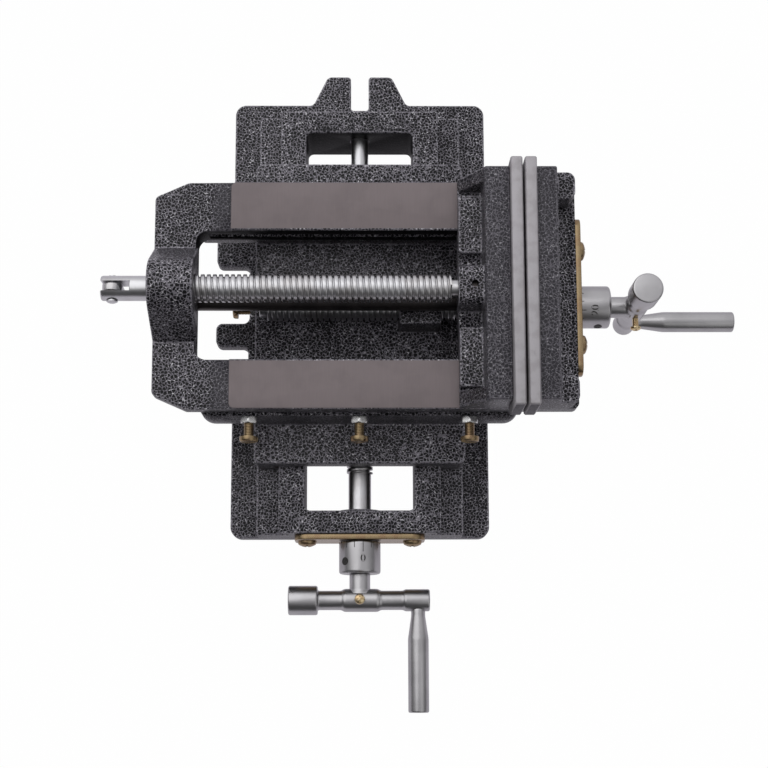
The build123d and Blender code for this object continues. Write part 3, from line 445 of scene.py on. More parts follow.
@dataclass
class Shell:
    """Points and faces of a closed surface, all of whose faces point outwards."""

    points: np.ndarray
    faces: list[tuple[int, ...]]

    @staticmethod
    def of_grid(grid: np.ndarray) -> "Shell":
        """A closed surface from a grid whose second direction runs round and whose first ends in poles.

        Where the signed volume under the faces is negative, they are turned round.

        Args:
            grid: Points as an array of rows, columns and three coordinates.

        Returns:
            The shell.
        """
        quads = grid_faces(*grid.shape[:2], closed=True)
        points = grid.reshape(-1, 3)
        a, b, c, d = (points[quads[:, k]] for k in range(4))
        if np.einsum("ij,ij->", a, np.cross(b, c) + np.cross(c, d)) < 0:
            quads = quads[:, ::-1]
        return Shell(points, [tuple(q) for q in quads.tolist()])

    def at(self, station: Station) -> "Shell":
        """The shell carried from local coordinates to a station."""
        return Shell(station.world(self.points), self.faces)


def grid_faces(rows: int, columns: int, closed: bool) -> np.ndarray:
    """One face for each cell between neighbouring rows and columns of a grid.

    Args:
        rows: Number of rows.
        columns: Number of columns.
        closed: Whether the last column joins the first.

    Returns:
        The numbers of each face's four points.
    """
    cells = columns if closed else columns - 1
    row, column = np.meshgrid(np.arange(rows - 1), np.arange(cells), indexing="ij")
    after = (column + 1) % columns
    return np.stack([row * columns + column, row * columns + after,
                     (row + 1) * columns + after, (row + 1) * columns + column], -1).reshape(-1, 4)


def ring(radius: float | np.ndarray, angle: np.ndarray, height: float | np.ndarray) -> np.ndarray:
    """Points round local Z: radius times the cosine and sine of each angle, at a height."""
    return np.stack([radius * np.cos(angle), radius * np.sin(angle), height + 0 * angle], -1)


def turned(profile: np.ndarray | Sequence[Span], steps: int = 64) -> Shell:
    """A turned solid about local Z.

    Args:
        profile: Rows of radius and height, from the axis to the axis.
        steps: Number of columns round the axis.

    Returns:
        The shell.
    """
    profile = np.array(profile, float)
    angle = np.arange(steps) * FULL_TURN / steps
    return Shell.of_grid(ring(profile[:, 0:1], angle, profile[:, 1:2]))


def stepped(*sections: tuple[float, float, float]) -> list[Span]:
    """Corners of a profile from the axis to the axis, with a radius, start and end for each section."""
    corners = [(radius, height) for radius, *ends in sections for height in ends]
    return [(0, sections[0][1]), *corners, (0, sections[-1][2])]


def softened(corners: Sequence[Span], radius: float, steps: int = 4) -> np.ndarray:
    """A profile whose inner corners are rounded.

    Each corner gives way to the quadratic curve between the points one radius before and after it,
    or less than half way where a side is short.

    Args:
        corners: Rows of radius and height.
        radius: How far the rounding reaches along each side.
        steps: Number of points on each rounding, less one.

    Returns:
        The rounded profile.
    """
    points = np.array(corners, float)
    before, middle, after = points[:-2], points[1:-1], points[2:]
    near = np.linalg.norm(before - middle, axis=1, keepdims=True)
    far = np.linalg.norm(after - middle, axis=1, keepdims=True)
    first = middle + (before - middle) * np.minimum(radius / near, ROUNDING_SHARE)
    last = middle + (after - middle) * np.minimum(radius / far, ROUNDING_SHARE)
    t = np.linspace(0, 1, steps + 1)[None, :, None]
    curve = (1 - t) ** 2 * first[:, None] + 2 * t * (1 - t) * middle[:, None] + t ** 2 * last[:, None]
    return np.vstack([points[:1], curve.reshape(-1, 2), points[-1:]])


def screw_thread(radius: float, depth: float, pitch: float, start: float, end: float,
                 steps: int = 40) -> Shell:
    """A right-hand trapezoidal thread along local Z, with flat ends.

    The grid's rows follow the helix: a point lies at the pitch times the sum of its row's turn, its
    row's share of the pitch and its angle over a full turn. Its radius is the crest's for the middle
    of the ridge, the root's for the groove, and goes between them on the flanks. Past either end a
    point is held at the end and at the root's radius. The last column of a row is the first
    column of the row one turn on, so faces run between columns only, and the shared points are
    merged later. A pole at each end closes the solid.

    Args:
        radius: Radius of the crest.
        depth: Depth of the groove.
        pitch: Distance between turns.
        start: Lower end.
        end: Upper end.
        steps: Number of columns round the axis.

    Returns:
        The shell.
    """
    turns = int(math.ceil((end - start) / pitch)) + 2
    rows = (np.arange(turns)[:, None] - 1 + THREAD_PHASES[None, :]).reshape(-1)
    rise = np.tile(THREAD_HEIGHTS, turns)
    angle = np.arange(steps + 1) * FULL_TURN / steps
    along = start + pitch * (rows[:, None] + angle[None, :] / FULL_TURN)
    over = (along <= start) | (along >= end)
    across = np.where(over, radius - depth, radius - depth + depth * rise[:, None])
    along = np.clip(along, start, end)
    grid = np.stack([across * np.cos(angle), across * np.sin(angle), along], -1)
    poles = [np.zeros((1, steps + 1, 3)) + np.array([0, 0, height]) for height in (start, end)]
    full = np.concatenate([poles[0], grid, poles[1]])
    quads = grid_faces(*full.shape[:2], closed=False)
    return Shell(full.reshape(-1, 3), [tuple(q) for q in quads.tolist()])


@dataclass(frozen=True)
class ScrewHead:
    """A domed screw head on local Z with a flat underside and its drive recess.

    An arm of the recess has a length from the axis and a width. The crown is the share of the height
    that the dome falls from the axis to the rim.
    """

    radius: float
    height: float
    recess: Recess
    depth: float
    arm: float
    width: float
    crown: float = 0.52
    rim_share: float = 0.12
    rim_drop: float = 0.3
    wall_share: float = 0.14
    columns: int = 96
    rows: int = 34

    def shell(self) -> Shell:
        """Make the head.

        The top is a shallow dome whose height falls with the square of the distance from the axis,
        and faster at the rim. The recess lowers it by its depth where the distance from the nearest
        arm is under half the width, with a short slope at the edge.

        Returns:
            The shell.
        """
        angle = np.arange(self.columns) * FULL_TURN / self.columns
        share = np.linspace(1, 0, self.rows)[:, None]
        x, y = share * self.radius * np.cos(angle), share * self.radius * np.sin(angle)
        edge = np.clip((share - 1 + self.rim_share) / self.rim_share, 0, 1)
        dome = self.height * (1 - self.crown * share ** 2 - self.rim_drop * edge ** 2)
        bar = np.maximum(np.abs(y) - self.width / 2, np.abs(x) - self.arm)
        if self.recess is Recess.CROSS:
            bar = np.minimum(bar, np.maximum(np.abs(x) - self.width / 2, np.abs(y) - self.arm))
        sunk = np.clip(0.5 - bar / (self.wall_share * self.width), 0, 1)
        top = np.stack([x, y, dome - self.depth * sunk], -1)
        pole = np.zeros((1, self.columns, 3))
        return Shell.of_grid(np.concatenate([pole, ring(self.radius, angle, 0)[None], top]))


PLATE_HEAD = ScrewHead(5.0 * MM, 3.0 * MM, Recess.CROSS, depth=1.1 * MM, arm=3.0 * MM, width=1.0 * MM)
SET_HEAD = ScrewHead(2.75 * MM, 2.0 * MM, Recess.CROSS, depth=0.8 * MM, arm=1.7 * MM, width=0.6 * MM)
GIB_HEAD = ScrewHead(4.7 * MM, 3.0 * MM, Recess.SLOT, depth=1.2 * MM, arm=5.2 * MM, width=1.1 * MM,
                     crown=0.18)


def side_segment(radius: float, flat: float, start: float, end: float, side: int, soft: float,
                 arc_points: int = 25, tip_rows: int = 6) -> Shell:
    """One cheek of a forked round bar, along local Z.

    Its section is the part of a circle beyond a flat. Towards the outer end the section shrinks
    about its own middle by a quarter circle, which rounds the tip.

    Args:
        radius: Radius of the bar.
        flat: Distance of the flat from the axis.
        start: Lower end.
        end: Upper end, which is rounded.
        side: 1 or -1, the side of local Y.
        soft: Radius of the tip's rounding.
        arc_points: Number of points on the arc.
        tip_rows: Number of rows on the rounding.

    Returns:
        The shell.
    """
    half = math.acos(flat / radius)
    arc = np.linspace(-half, half, arc_points)
    section = np.stack([radius * np.sin(arc), side * radius * np.cos(arc)], -1)
    middle = np.array([0.0, side * (radius + flat) / 2])
    bend = np.linspace(0, math.pi / 2, tip_rows)
    heights = np.concatenate([[start, start], end - soft + soft * np.sin(bend), [end]])
    shrink = 1 - soft * (1 - np.cos(bend)) / (radius - flat)
    scales = np.concatenate([[0, 1], shrink, [0]])
    rows = middle + (section - middle)[None] * scales[:, None, None]
    grid = np.concatenate([rows, np.broadcast_to(heights[:, None, None], rows.shape[:2] + (1,))], -1)
    return Shell.of_grid(grid)


def make_piece(name: str, shells: Sequence[Shell], material: bpy.types.Material) -> bpy.types.Object:
    """One object from closed shells, smooth except at its sharp edges.

    Args:
        name: The piece's name.
        shells: Its closed surfaces.
        material: Its material.

    Returns:
        The object.
    """
    points = np.concatenate([shell.points for shell in shells])
    starts = np.cumsum([0] + [len(shell.points) for shell in shells[:-1]])
    faces = [tuple(k + int(start) for k in face)
             for shell, start in zip(shells, starts) for face in shell.faces]
    mesh = bpy.data.meshes.new(name)
    mesh.from_pydata(points.tolist(), [], faces)
    cleaned(mesh)
    return finished(name, mesh, [material], sharp=32.0)


def cleaned(mesh: bpy.types.Mesh) -> None:
    """Merge a mesh's shared points and drop the faces that this leaves empty."""
    work = bmesh.new()
    work.from_mesh(mesh)
    bmesh.ops.remove_doubles(work, verts=work.verts, dist=MERGE_DISTANCE)
    bmesh.ops.dissolve_degenerate(work, edges=work.edges, dist=MERGE_DISTANCE)
    work.to_mesh(mesh)
    work.free()


def smoothed(mesh: bpy.types.Mesh, sharp: float) -> None:
    """Shade a mesh smooth except where faces meet at more than an angle in degrees."""
    mesh.polygons.foreach_set("use_smooth", np.ones(len(mesh.polygons), bool))
    mesh.set_sharp_from_angle(angle=math.radians(sharp))


def finished(name: str, mesh: bpy.types.Mesh, materials: Sequence[bpy.types.Material],
             sharp: float) -> bpy.types.Object:
    """Link a mesh to the scene as a smooth object with its materials."""
    for material in materials:
        mesh.materials.append(material)
    smoothed(mesh, sharp)
    piece = bpy.data.objects.new(name, mesh)
    bpy.context.scene.collection.objects.link(piece)
    return piece


def evaluated(piece: bpy.types.Object) -> bpy.types.Mesh:
    """Put a passing object in the scene, take its finished mesh and remove the object."""
    bpy.context.scene.collection.objects.link(piece)
    view = bpy.context.evaluated_depsgraph_get()
    mesh = bpy.data.meshes.new_from_object(piece.evaluated_get(view))
    bpy.data.objects.remove(piece)
    return mesh


def read(items: bpy.types.bpy_prop_collection, name: str, width: int = 1, kind: type = float) -> np.ndarray:
    """One property of every item as an array with the given number of columns."""
    values = np.zeros(len(items) * width, kind)
    items.foreach_get(name, values)
    return values.reshape(-1, width) if width > 1 else values


def read_faces(mesh: bpy.types.Mesh) -> tuple[np.ndarray, np.ndarray, np.ndarray]:
    """Each face's normal, centre and material index."""
    return (read(mesh.polygons, "normal", 3), read(mesh.polygons, "center", 3),
            read(mesh.polygons, "material_index", kind=np.int32))


# The vise's own sub-assemblies


@dataclass
class Assembly:
    """Common work of the sub-assemblies: dressing nodes and placing pieces on their bodies."""

    frame: dict
    palette: Palette

    def dress(self, slot: Slot, *nodes: str) -> None:
        """Give modelled nodes the finish of their slot."""
        for name in nodes:
            mesh = self.frame["nodes"][name].data
            mesh.materials.clear()
            mesh.materials.append(self.palette.of(FINISHES[slot]))
            smoothed(mesh, sharp=30.0)
            LOG.info("dressed %s as %s", name, slot.value)

    def settle(self, piece: bpy.types.Object, body: str, slot: Slot, *nodes: str) -> None:
        """Put a piece on its body and in the place of the nodes that it stands for."""
        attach(piece, body)
        if nodes:
            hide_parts(*nodes)
        LOG.info("made %s on %s with %d faces", piece.name, body, len(piece.data.polygons))

    def place(self, name: str, shells: Sequence[Shell], body: str, slot: Slot, *nodes: str,
              finish: Finish | None = None) -> None:
        """Make a piece from shells and settle it.

        Args:
            name: The piece's name.
            shells: Its closed surfaces.
            body: The body that it rides on.
            slot: Its slot.
            nodes: The nodes that it stands for.
            finish: Its finish, where that isn't its slot's.
        """
        material = self.palette.of(finish or FINISHES[slot])
        self.settle(make_piece(name, shells, material), body, slot, *nodes)


@dataclass
class EdgeSoftener:
    """Rounds the sharp edges of a merged copy of a modelled node, each as wide as its place allows."""

    mesh: bpy.types.Mesh
    width: float
    sharp_from: float = 38.0
    smooth_turn: float = 35.0
    least_share: float = 0.2
    across_share: float = 0.45
    along_share: float = 0.85
    most_edges_at_point: int = 12
    segments: int = 3
    flat_turn: float = 0.6
    least_turn: float = 1e-3
    straight_turn: float = 0.02
    least_loss: float = 1e-6
    ray_shares: tuple[float, ...] = (0.1, 0.5, 0.9)
    least_reach: float = 1e-6
    least_slope: float = 1e-12
    end_slack: float = 1e-4

    def softened(self) -> bpy.types.Mesh:
        """Merge the mesh, weigh its edges and bevel them.

        Returns:
            The mesh with rounded edges, whose faces have the index of edges and the others that of
            plain faces.
        """
        self.merge()
        weights = self.weights()
        layer = self.mesh.attributes.new("bevel_weight_edge", "FLOAT", "EDGE")
        layer.data.foreach_set("value", weights.astype(np.float32))
        self.mesh.materials.append(self.mesh.materials[0])
        source = bpy.data.objects.new("source", self.mesh)
        bevel = source.modifiers.new("edge", "BEVEL")
        bevel.width = self.width
        bevel.material = EDGE
        bevel.segments = self.segments
        bevel.limit_method = "WEIGHT"
        bevel.use_clamp_overlap = False
        bevel.loop_slide = False
        result = evaluated(source)
        rounded = read(result.polygons, "material_index", kind=np.int32)
        result.materials.clear()
        result.polygons.foreach_set("material_index", rounded)
        return result

    def merge(self) -> None:
        """Join the loose triangles into flat faces."""
        work = bmesh.new()
        work.from_mesh(self.mesh)
        bmesh.ops.remove_doubles(work, verts=work.verts, dist=2 * MERGE_DISTANCE)
        turn = math.radians(self.flat_turn)
        bmesh.ops.dissolve_limit(work, angle_limit=turn, verts=work.verts, edges=work.edges)
        work.to_mesh(self.mesh)
        work.free()

    def weights(self) -> np.ndarray:
        """Share of the full width that each edge takes: its smallest room over the width, at most 1.

        Returns:
            One value for each edge, zero where the edge isn't sharp or has hardly any room.
        """
        points = read(self.mesh.vertices, "co", 3)
        normals = read(self.mesh.polygons, "normal", 3)
        total = read(self.mesh.polygons, "loop_total", kind=np.int32)
        edge = read(self.mesh.loops, "edge_index", kind=np.int32)
        corner = read(self.mesh.loops, "vertex_index", kind=np.int32)
        ends = read(self.mesh.edges, "vertices", 2, np.int32)
        owner = np.repeat(np.arange(len(total)), total)
        pair = owner[np.argsort(edge, kind="stable")].reshape(-1, 2)
        cosine = np.einsum("ij,ij->i", normals[pair[:, 0]], normals[pair[:, 1]])
        sharp = cosine < math.cos(math.radians(self.sharp_from))
        room = np.full(len(self.mesh.edges), np.inf)
        for face, (begin, size) in enumerate(zip(np.cumsum(total) - total, total)):
            edges = edge[begin:begin + size]
            if sharp[edges].any():
                space = self.face_room(normals[face], points[corner[begin:begin + size]], sharp[edges])
                np.minimum.at(room, edges[sharp[edges]], space[sharp[edges]])
        share = np.where(sharp, np.clip(room / self.width, 0, 1), np.inf)
        share = self.evened(share, points, ends)
        return np.where(sharp & (share > self.least_share), share, 0)

    def face_room(self, normal: np.ndarray, start: np.ndarray, sharp: np.ndarray) -> np.ndarray:
        """The widest rounding that each edge of one face can take.

        It is the smaller of two lengths: a share of the way across the face to the next sharp edge,
        and a share of the width at which the edge, moved inwards, would shrink to nothing.

        Args:
            normal: The face's normal.
            start: The face's corners in order.
            sharp: Which of its edges are sharp.

        Returns:
            One width for each edge.
        """
        along = np.roll(start, -1, axis=0) - start
        room = self.along_share * self.shrinking(normal, along, sharp)
        if sharp.sum() > 1:
            across = self.inward_room(normal, start[sharp], along[sharp])
            room[sharp] = np.minimum(room[sharp], self.across_share * across)
        return room

    def shrinking(self, normal: np.ndarray, along: np.ndarray, sharp: np.ndarray) -> np.ndarray:
        """Width at which each moved edge has no length left.

        At a corner with inner angle a, an edge that moves inwards by w loses w times the cotangent
        of a/2 where the next edge moves too, and w times the cotangent of a where it stays.

        Args:
            normal: The face's normal.
            along: The edges' vectors in order.
            sharp: Which of the edges move.

        Returns:
            One width for each edge, infinite where the edge doesn't get shorter.
        """
        length = np.linalg.norm(along, axis=1)
        unit = along / length[:, None]
        after = np.roll(unit, -1, axis=0)
        bend = np.arctan2(np.cross(unit, after) @ normal, np.einsum("ij,ij->i", unit, after))
        inner = np.clip(np.pi - bend, self.least_turn, FULL_TURN - self.least_turn)
        both = 1 / np.tan(inner / 2)
        cotangent = np.cos(inner) / np.maximum(np.sin(inner), self.least_turn)
        alone = np.where(inner < np.pi - self.straight_turn, cotangent, 0)
        loss = np.where(np.roll(sharp, -1), both, alone)
        loss = loss + np.where(np.roll(sharp, 1), np.roll(both, 1), np.roll(alone, 1))
        return np.where(loss > self.least_loss, length / np.maximum(loss, self.least_loss), np.inf)

    def inward_room(self, normal: np.ndarray, start: np.ndarray, along: np.ndarray) -> np.ndarray:
        """Distance from each edge of a face to the first other edge met inwards.

        From three places on each edge a ray runs inwards in the face, square to the edge.

        Args:
            normal: The face's normal.
            start: First ends of the edges.
            along: The edges' vectors, with the face on their left.

        Returns:
            The smallest of three rays' distances, infinite where none meets an edge.
        """
        inward = np.cross(normal, along / np.linalg.norm(along, axis=1, keepdims=True))
        facing = np.cross(inward[:, None], along[None]) @ normal
        nearest = np.full(len(start), np.inf)
        for share in self.ray_shares:
            gap = start[None] - (start + share * along)[:, None]
            with np.errstate(divide="ignore", invalid="ignore"):
                reach = np.cross(gap, np.broadcast_to(along[None], gap.shape)) @ normal / facing
                place = np.cross(gap, np.broadcast_to(inward[:, None], gap.shape)) @ normal / facing
            met = (np.abs(facing) > self.least_slope) & (reach > self.least_reach)
            met &= (place > -self.end_slack) & (place < 1 + self.end_slack)
            np.fill_diagonal(met, False)
            nearest = np.minimum(nearest, np.where(met, reach, np.inf).min(1))
        return nearest

    def evened(self, share: np.ndarray, points: np.ndarray, ends: np.ndarray) -> np.ndarray:
        """Give every edge of a smooth chain the smallest share in it, so that no step pulls a corner out.

        Two sharp edges are in one chain where they meet at a point and hardly turn there.

        Args:
            share: Each edge's own share, infinite where it isn't sharp.
            points: The mesh's points.
            ends: The two points of each edge.

        Returns:
            The evened shares.
        """
        picked = np.nonzero(np.isfinite(share))[0]
        point, item = ends[picked].ravel(), np.repeat(picked, 2)
        away = points[ends[picked][:, ::-1].ravel()] - points[point]
        away /= np.linalg.norm(away, axis=1, keepdims=True)
        order = np.argsort(point, kind="stable")
        point, item, away = point[order], item[order], away[order]
        links = []
        opposite = -math.cos(math.radians(self.smooth_turn))
        for shift in range(1, self.most_edges_at_point):
            straight = np.einsum("ij,ij->i", away[shift:], away[:-shift]) < opposite
            same = straight & (point[shift:] == point[:-shift])
            links.append(np.stack([item[shift:][same], item[:-shift][same]], -1))
        first, second = np.vstack(links).T
        before = np.zeros_like(share)
        while not np.array_equal(before, share):
            before = share.copy()
            least = np.minimum(share[first], share[second])
            np.minimum.at(share, first, least)
            np.minimum.at(share, second, least)
        return share


@dataclass(frozen=True)
class Softened:
    """A modelled node whose edges are rounded, with its body, finish and width of the rounding."""

    node: str
    body: str
    slot: Slot
    width: float


@dataclass
class EdgePieces(Assembly):
    """The castings and plates, with rounded edges, bare machined faces, painted highlights on the castings'
    edges and painted shade inside their openings.

    A slope is the share of a face's normal along an axis, and a low and a high point are corners
    of a box.
    """

    cast_edge: float = 0.9 * MM
    plate_edge: float = 0.35 * MM
    fine_edge: float = 0.2 * MM
    sharp: float = 50.0
    flank_slope: Span = (0.45, 0.55)
    level_slope: float = 0.95
    wall_slope: float = 0.3
    end_slope: float = 0.9
    rail_level: float = 80 * MM
    flank_top: float = 78 * MM
    machined_left: float = -65.6 * MM
    machined_right: float = 95 * MM
    level_slack: float = 0.06 * MM
    boss_level: float = 20 * MM
    boss_radius: float = 12 * MM
    boss_front: float = -111 * MM
    boss_end: float = -104 * MM
    boss_shown: float = 1 * MM
    opening_low: Point = (-29.2 * MM, -111.2 * MM, 0.5 * MM)
    opening_high: Point = (29.2 * MM, 97.2 * MM, 34 * MM)
    window_low: Point = (-84 * MM, -41 * MM, 45 * MM)
    window_high: Point = (60 * MM, 28 * MM, 79.6 * MM)
    window_deep: float = 74 * MM
    pin_hole_low: Point = (55.2 * MM, -9.0 * MM, 90 * MM)
    pin_hole_high: Point = (59.8 * MM, -4.4 * MM, 99.9 * MM)

    def build(self) -> None:
        """Make every casting and plate."""
        for item in (Softened("base", "base_group", Slot.PAINT, self.cast_edge),
                     Softened("saddle", "saddle_group", Slot.PAINT, self.cast_edge),
                     Softened("x_nut", "saddle_group", Slot.PAINT, self.cast_edge),
                     Softened("vise_body", "vise_group", Slot.PAINT, self.cast_edge),
                     Softened("movable_jaw", "jaw_group", Slot.PAINT, self.cast_edge),
                     Softened("y_bearing_plate", "base_group", Slot.YELLOW, self.plate_edge),
                     Softened("x_bearing_plate", "vise_group", Slot.YELLOW, self.plate_edge),
                     Softened("fixed_jaw_plate", "vise_group", Slot.JAW, self.fine_edge),
                     Softened("movable_jaw_plate", "jaw_group", Slot.JAW, self.fine_edge),
                     Softened("handle_link", "link_group", Slot.BRIGHT, self.plate_edge)):
            self.make(item)

    def make(self, item: Softened) -> None:
        """Make one piece from its node, with one material for each index that its faces can have."""
        data = self.frame["nodes"][item.node].data.copy()
        if item.node == "base":
            self.shorten_boss(data)
        mesh = EdgeSoftener(data, item.width).softened()
        own = FINISHES[item.slot]
        # Paint gets painted highlights on its edge faces and painted shade in its hollows; a jaw plate gets a
        # darker finish on its ends.
        finishes = {Slot.PAINT: [own, EDGE_HIGHLIGHT_PAINT, FINISHES[Slot.IRON], HOLLOW_SHADE_PAINT],
                    Slot.JAW: [own, own, DARK_PLATE_END]}
        materials = [self.palette.of(finish) for finish in finishes.get(item.slot, [own, own])]
        piece = finished(f"{item.node}_body", mesh, materials, self.sharp)
        if item.slot is Slot.PAINT:
            self.mark_machined(item.node, mesh)
        if item.slot is Slot.JAW:
            self.mark_ends(mesh)
        self.settle(piece, item.body, item.slot, item.node)

    def shorten_boss(self, mesh: bpy.types.Mesh) -> None:
        """Bring the end of the base's front boss back: its points keep their x and z and share one y."""
        points = read(mesh.vertices, "co", 3)
        end = self.boss_front + self.boss_shown
        near = np.hypot(points[:, 0], points[:, 2] - self.boss_level) < self.boss_radius + self.level_slack
        ahead = (points[:, 1] > end) & (points[:, 1] < self.boss_end + self.level_slack)
        points[near & ahead, 1] = end
        mesh.vertices.foreach_set("co", points.reshape(-1))

    def mark_ends(self, mesh: bpy.types.Mesh) -> None:
        """Give the third, darker finish to the ends of a jaw plate."""
        normals, _, index = read_faces(mesh)
        ends = np.abs(normals[:, 1]) > self.end_slope
        mesh.polygons.foreach_set("material_index", np.where(ends, BARE, index).astype(np.int32))

    def mark_machined(self, node: str, mesh: bpy.types.Mesh) -> None:
        """Give bare iron to what a cutter has made, and painted shade to the walls inside an opening.

        Bare are the dovetail flanks, the rail tops and the underside. Deep in the vise body's window the
        painted shade covers the grooves' floors and edges too.

        Args:
            node: Name of the node that the mesh was copied from.
            mesh: The mesh, whose material indices are set.
        """
        normals, centres, index = read_faces(mesh)
        slope = normals[:, 2] * (-1 if node in ("base", "vise_body") else 1)
        least, most = self.flank_slope
        bare = (slope > least) & (slope < most) & (centres[:, 2] < self.flank_top) & (node != "x_nut")
        if node == "saddle":
            bare |= (slope < -least) & (slope > -most)
        if node == "vise_body":
            level = np.abs(centres[:, 2] - self.rail_level) < self.level_slack
            between = (centres[:, 0] > self.machined_left) & (centres[:, 0] < self.machined_right)
            bare |= level & between & (normals[:, 2] > self.level_slope)
        if node == "base":
            bare |= (centres[:, 2] < self.level_slack) & (normals[:, 2] < -self.level_slope)
        # Boxes that get painted shade: the base's opening, the vise body's window and the movable jaw's pin
        # hole.
        shade_boxes = {"base": (self.opening_low, self.opening_high),
                 "vise_body": (self.window_low, self.window_high),
                 "movable_jaw": (self.pin_hole_low, self.pin_hole_high)}
        if node in shade_boxes:
            low, high = shade_boxes[node]
            inside = np.all((centres > low) & (centres < high), axis=1)
            walls = (np.abs(normals[:, 2]) < self.wall_slope) & (index == PLAIN)
            deep = (centres[:, 2] < self.window_deep) & (node == "vise_body")
            # Painted shade: the walls in each box, and the deep faces of the window, get near-black paint
            # where shade falls.
            index = np.where(inside & (walls | deep), HOLLOW, index)
        mesh.polygons.foreach_set("material_index", np.where(bare, BARE, index).astype(np.int32))


@dataclass
class MainScrew(Assembly):
    """The bright screw that moves the jaw, with its forked end and the pins at its two ends."""

    thread_radius: float = 7.0 * MM
    thread_depth: float = 1.25 * MM
    pitch: float = 3.0 * MM
    shank_radius: float = 6.25 * MM
    neck_radius: float = 4.5 * MM
    groove_radius: float = 3.0 * MM
    thread_left: float = -104 * MM
    thread_right: float = 46 * MM
    fork_depth: float = 14.5 * MM
    fork_half: float = 2.5 * MM
    groove_middle: float = 57.4 * MM
    groove_half: float = 2.0 * MM
    edge: float = 0.6 * MM
    fine_edge: float = 0.3 * MM

    def build(self) -> None:
        """Make the screw and dress the pins at its two ends."""
        low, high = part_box("main_screw")
        axis = (low + high) / 2
        place = Station((0.0, axis.y, axis.z), (1, 0, 0), (0, 0, -1))
        mirrored = Station(place.origin, (-1, 0, 0), (0, 0, -1))
        fork_end = low.x + self.fork_depth
        shank = softened([(0, fork_end), (self.shank_radius, fork_end), (self.shank_radius, self.thread_left),
                          (self.thread_radius - self.thread_depth, self.thread_left + self.edge),
                          (0, self.thread_left + 2 * self.edge)], self.edge)
        thread = screw_thread(self.thread_radius, self.thread_depth, self.pitch, self.thread_left,
                              self.thread_right)
        neck_start = self.thread_right - self.edge
        groove_start = self.groove_middle - self.groove_half
        groove_end = self.groove_middle + self.groove_half
        neck = softened(stepped((self.neck_radius, neck_start, groove_start),
                                (self.groove_radius, groove_start, groove_end),
                                (self.neck_radius, groove_end, high.x)), self.fine_edge)
        shells = [turned(shank).at(place), thread.at(place), turned(neck).at(place)]
        for side in (-1, 1):
            cheek = side_segment(self.shank_radius, self.fork_half, -fork_end - self.edge, -low.x, side,
                                 2 * self.edge)
            shells.append(cheek.at(mirrored))
        self.place("main_screw_thread", shells, "main_screw_group", Slot.BRIGHT, "main_screw")
        self.dress(Slot.BRIGHT, "clevis_pin")
        self.dress(Slot.DARK, "jaw_retaining_pin")


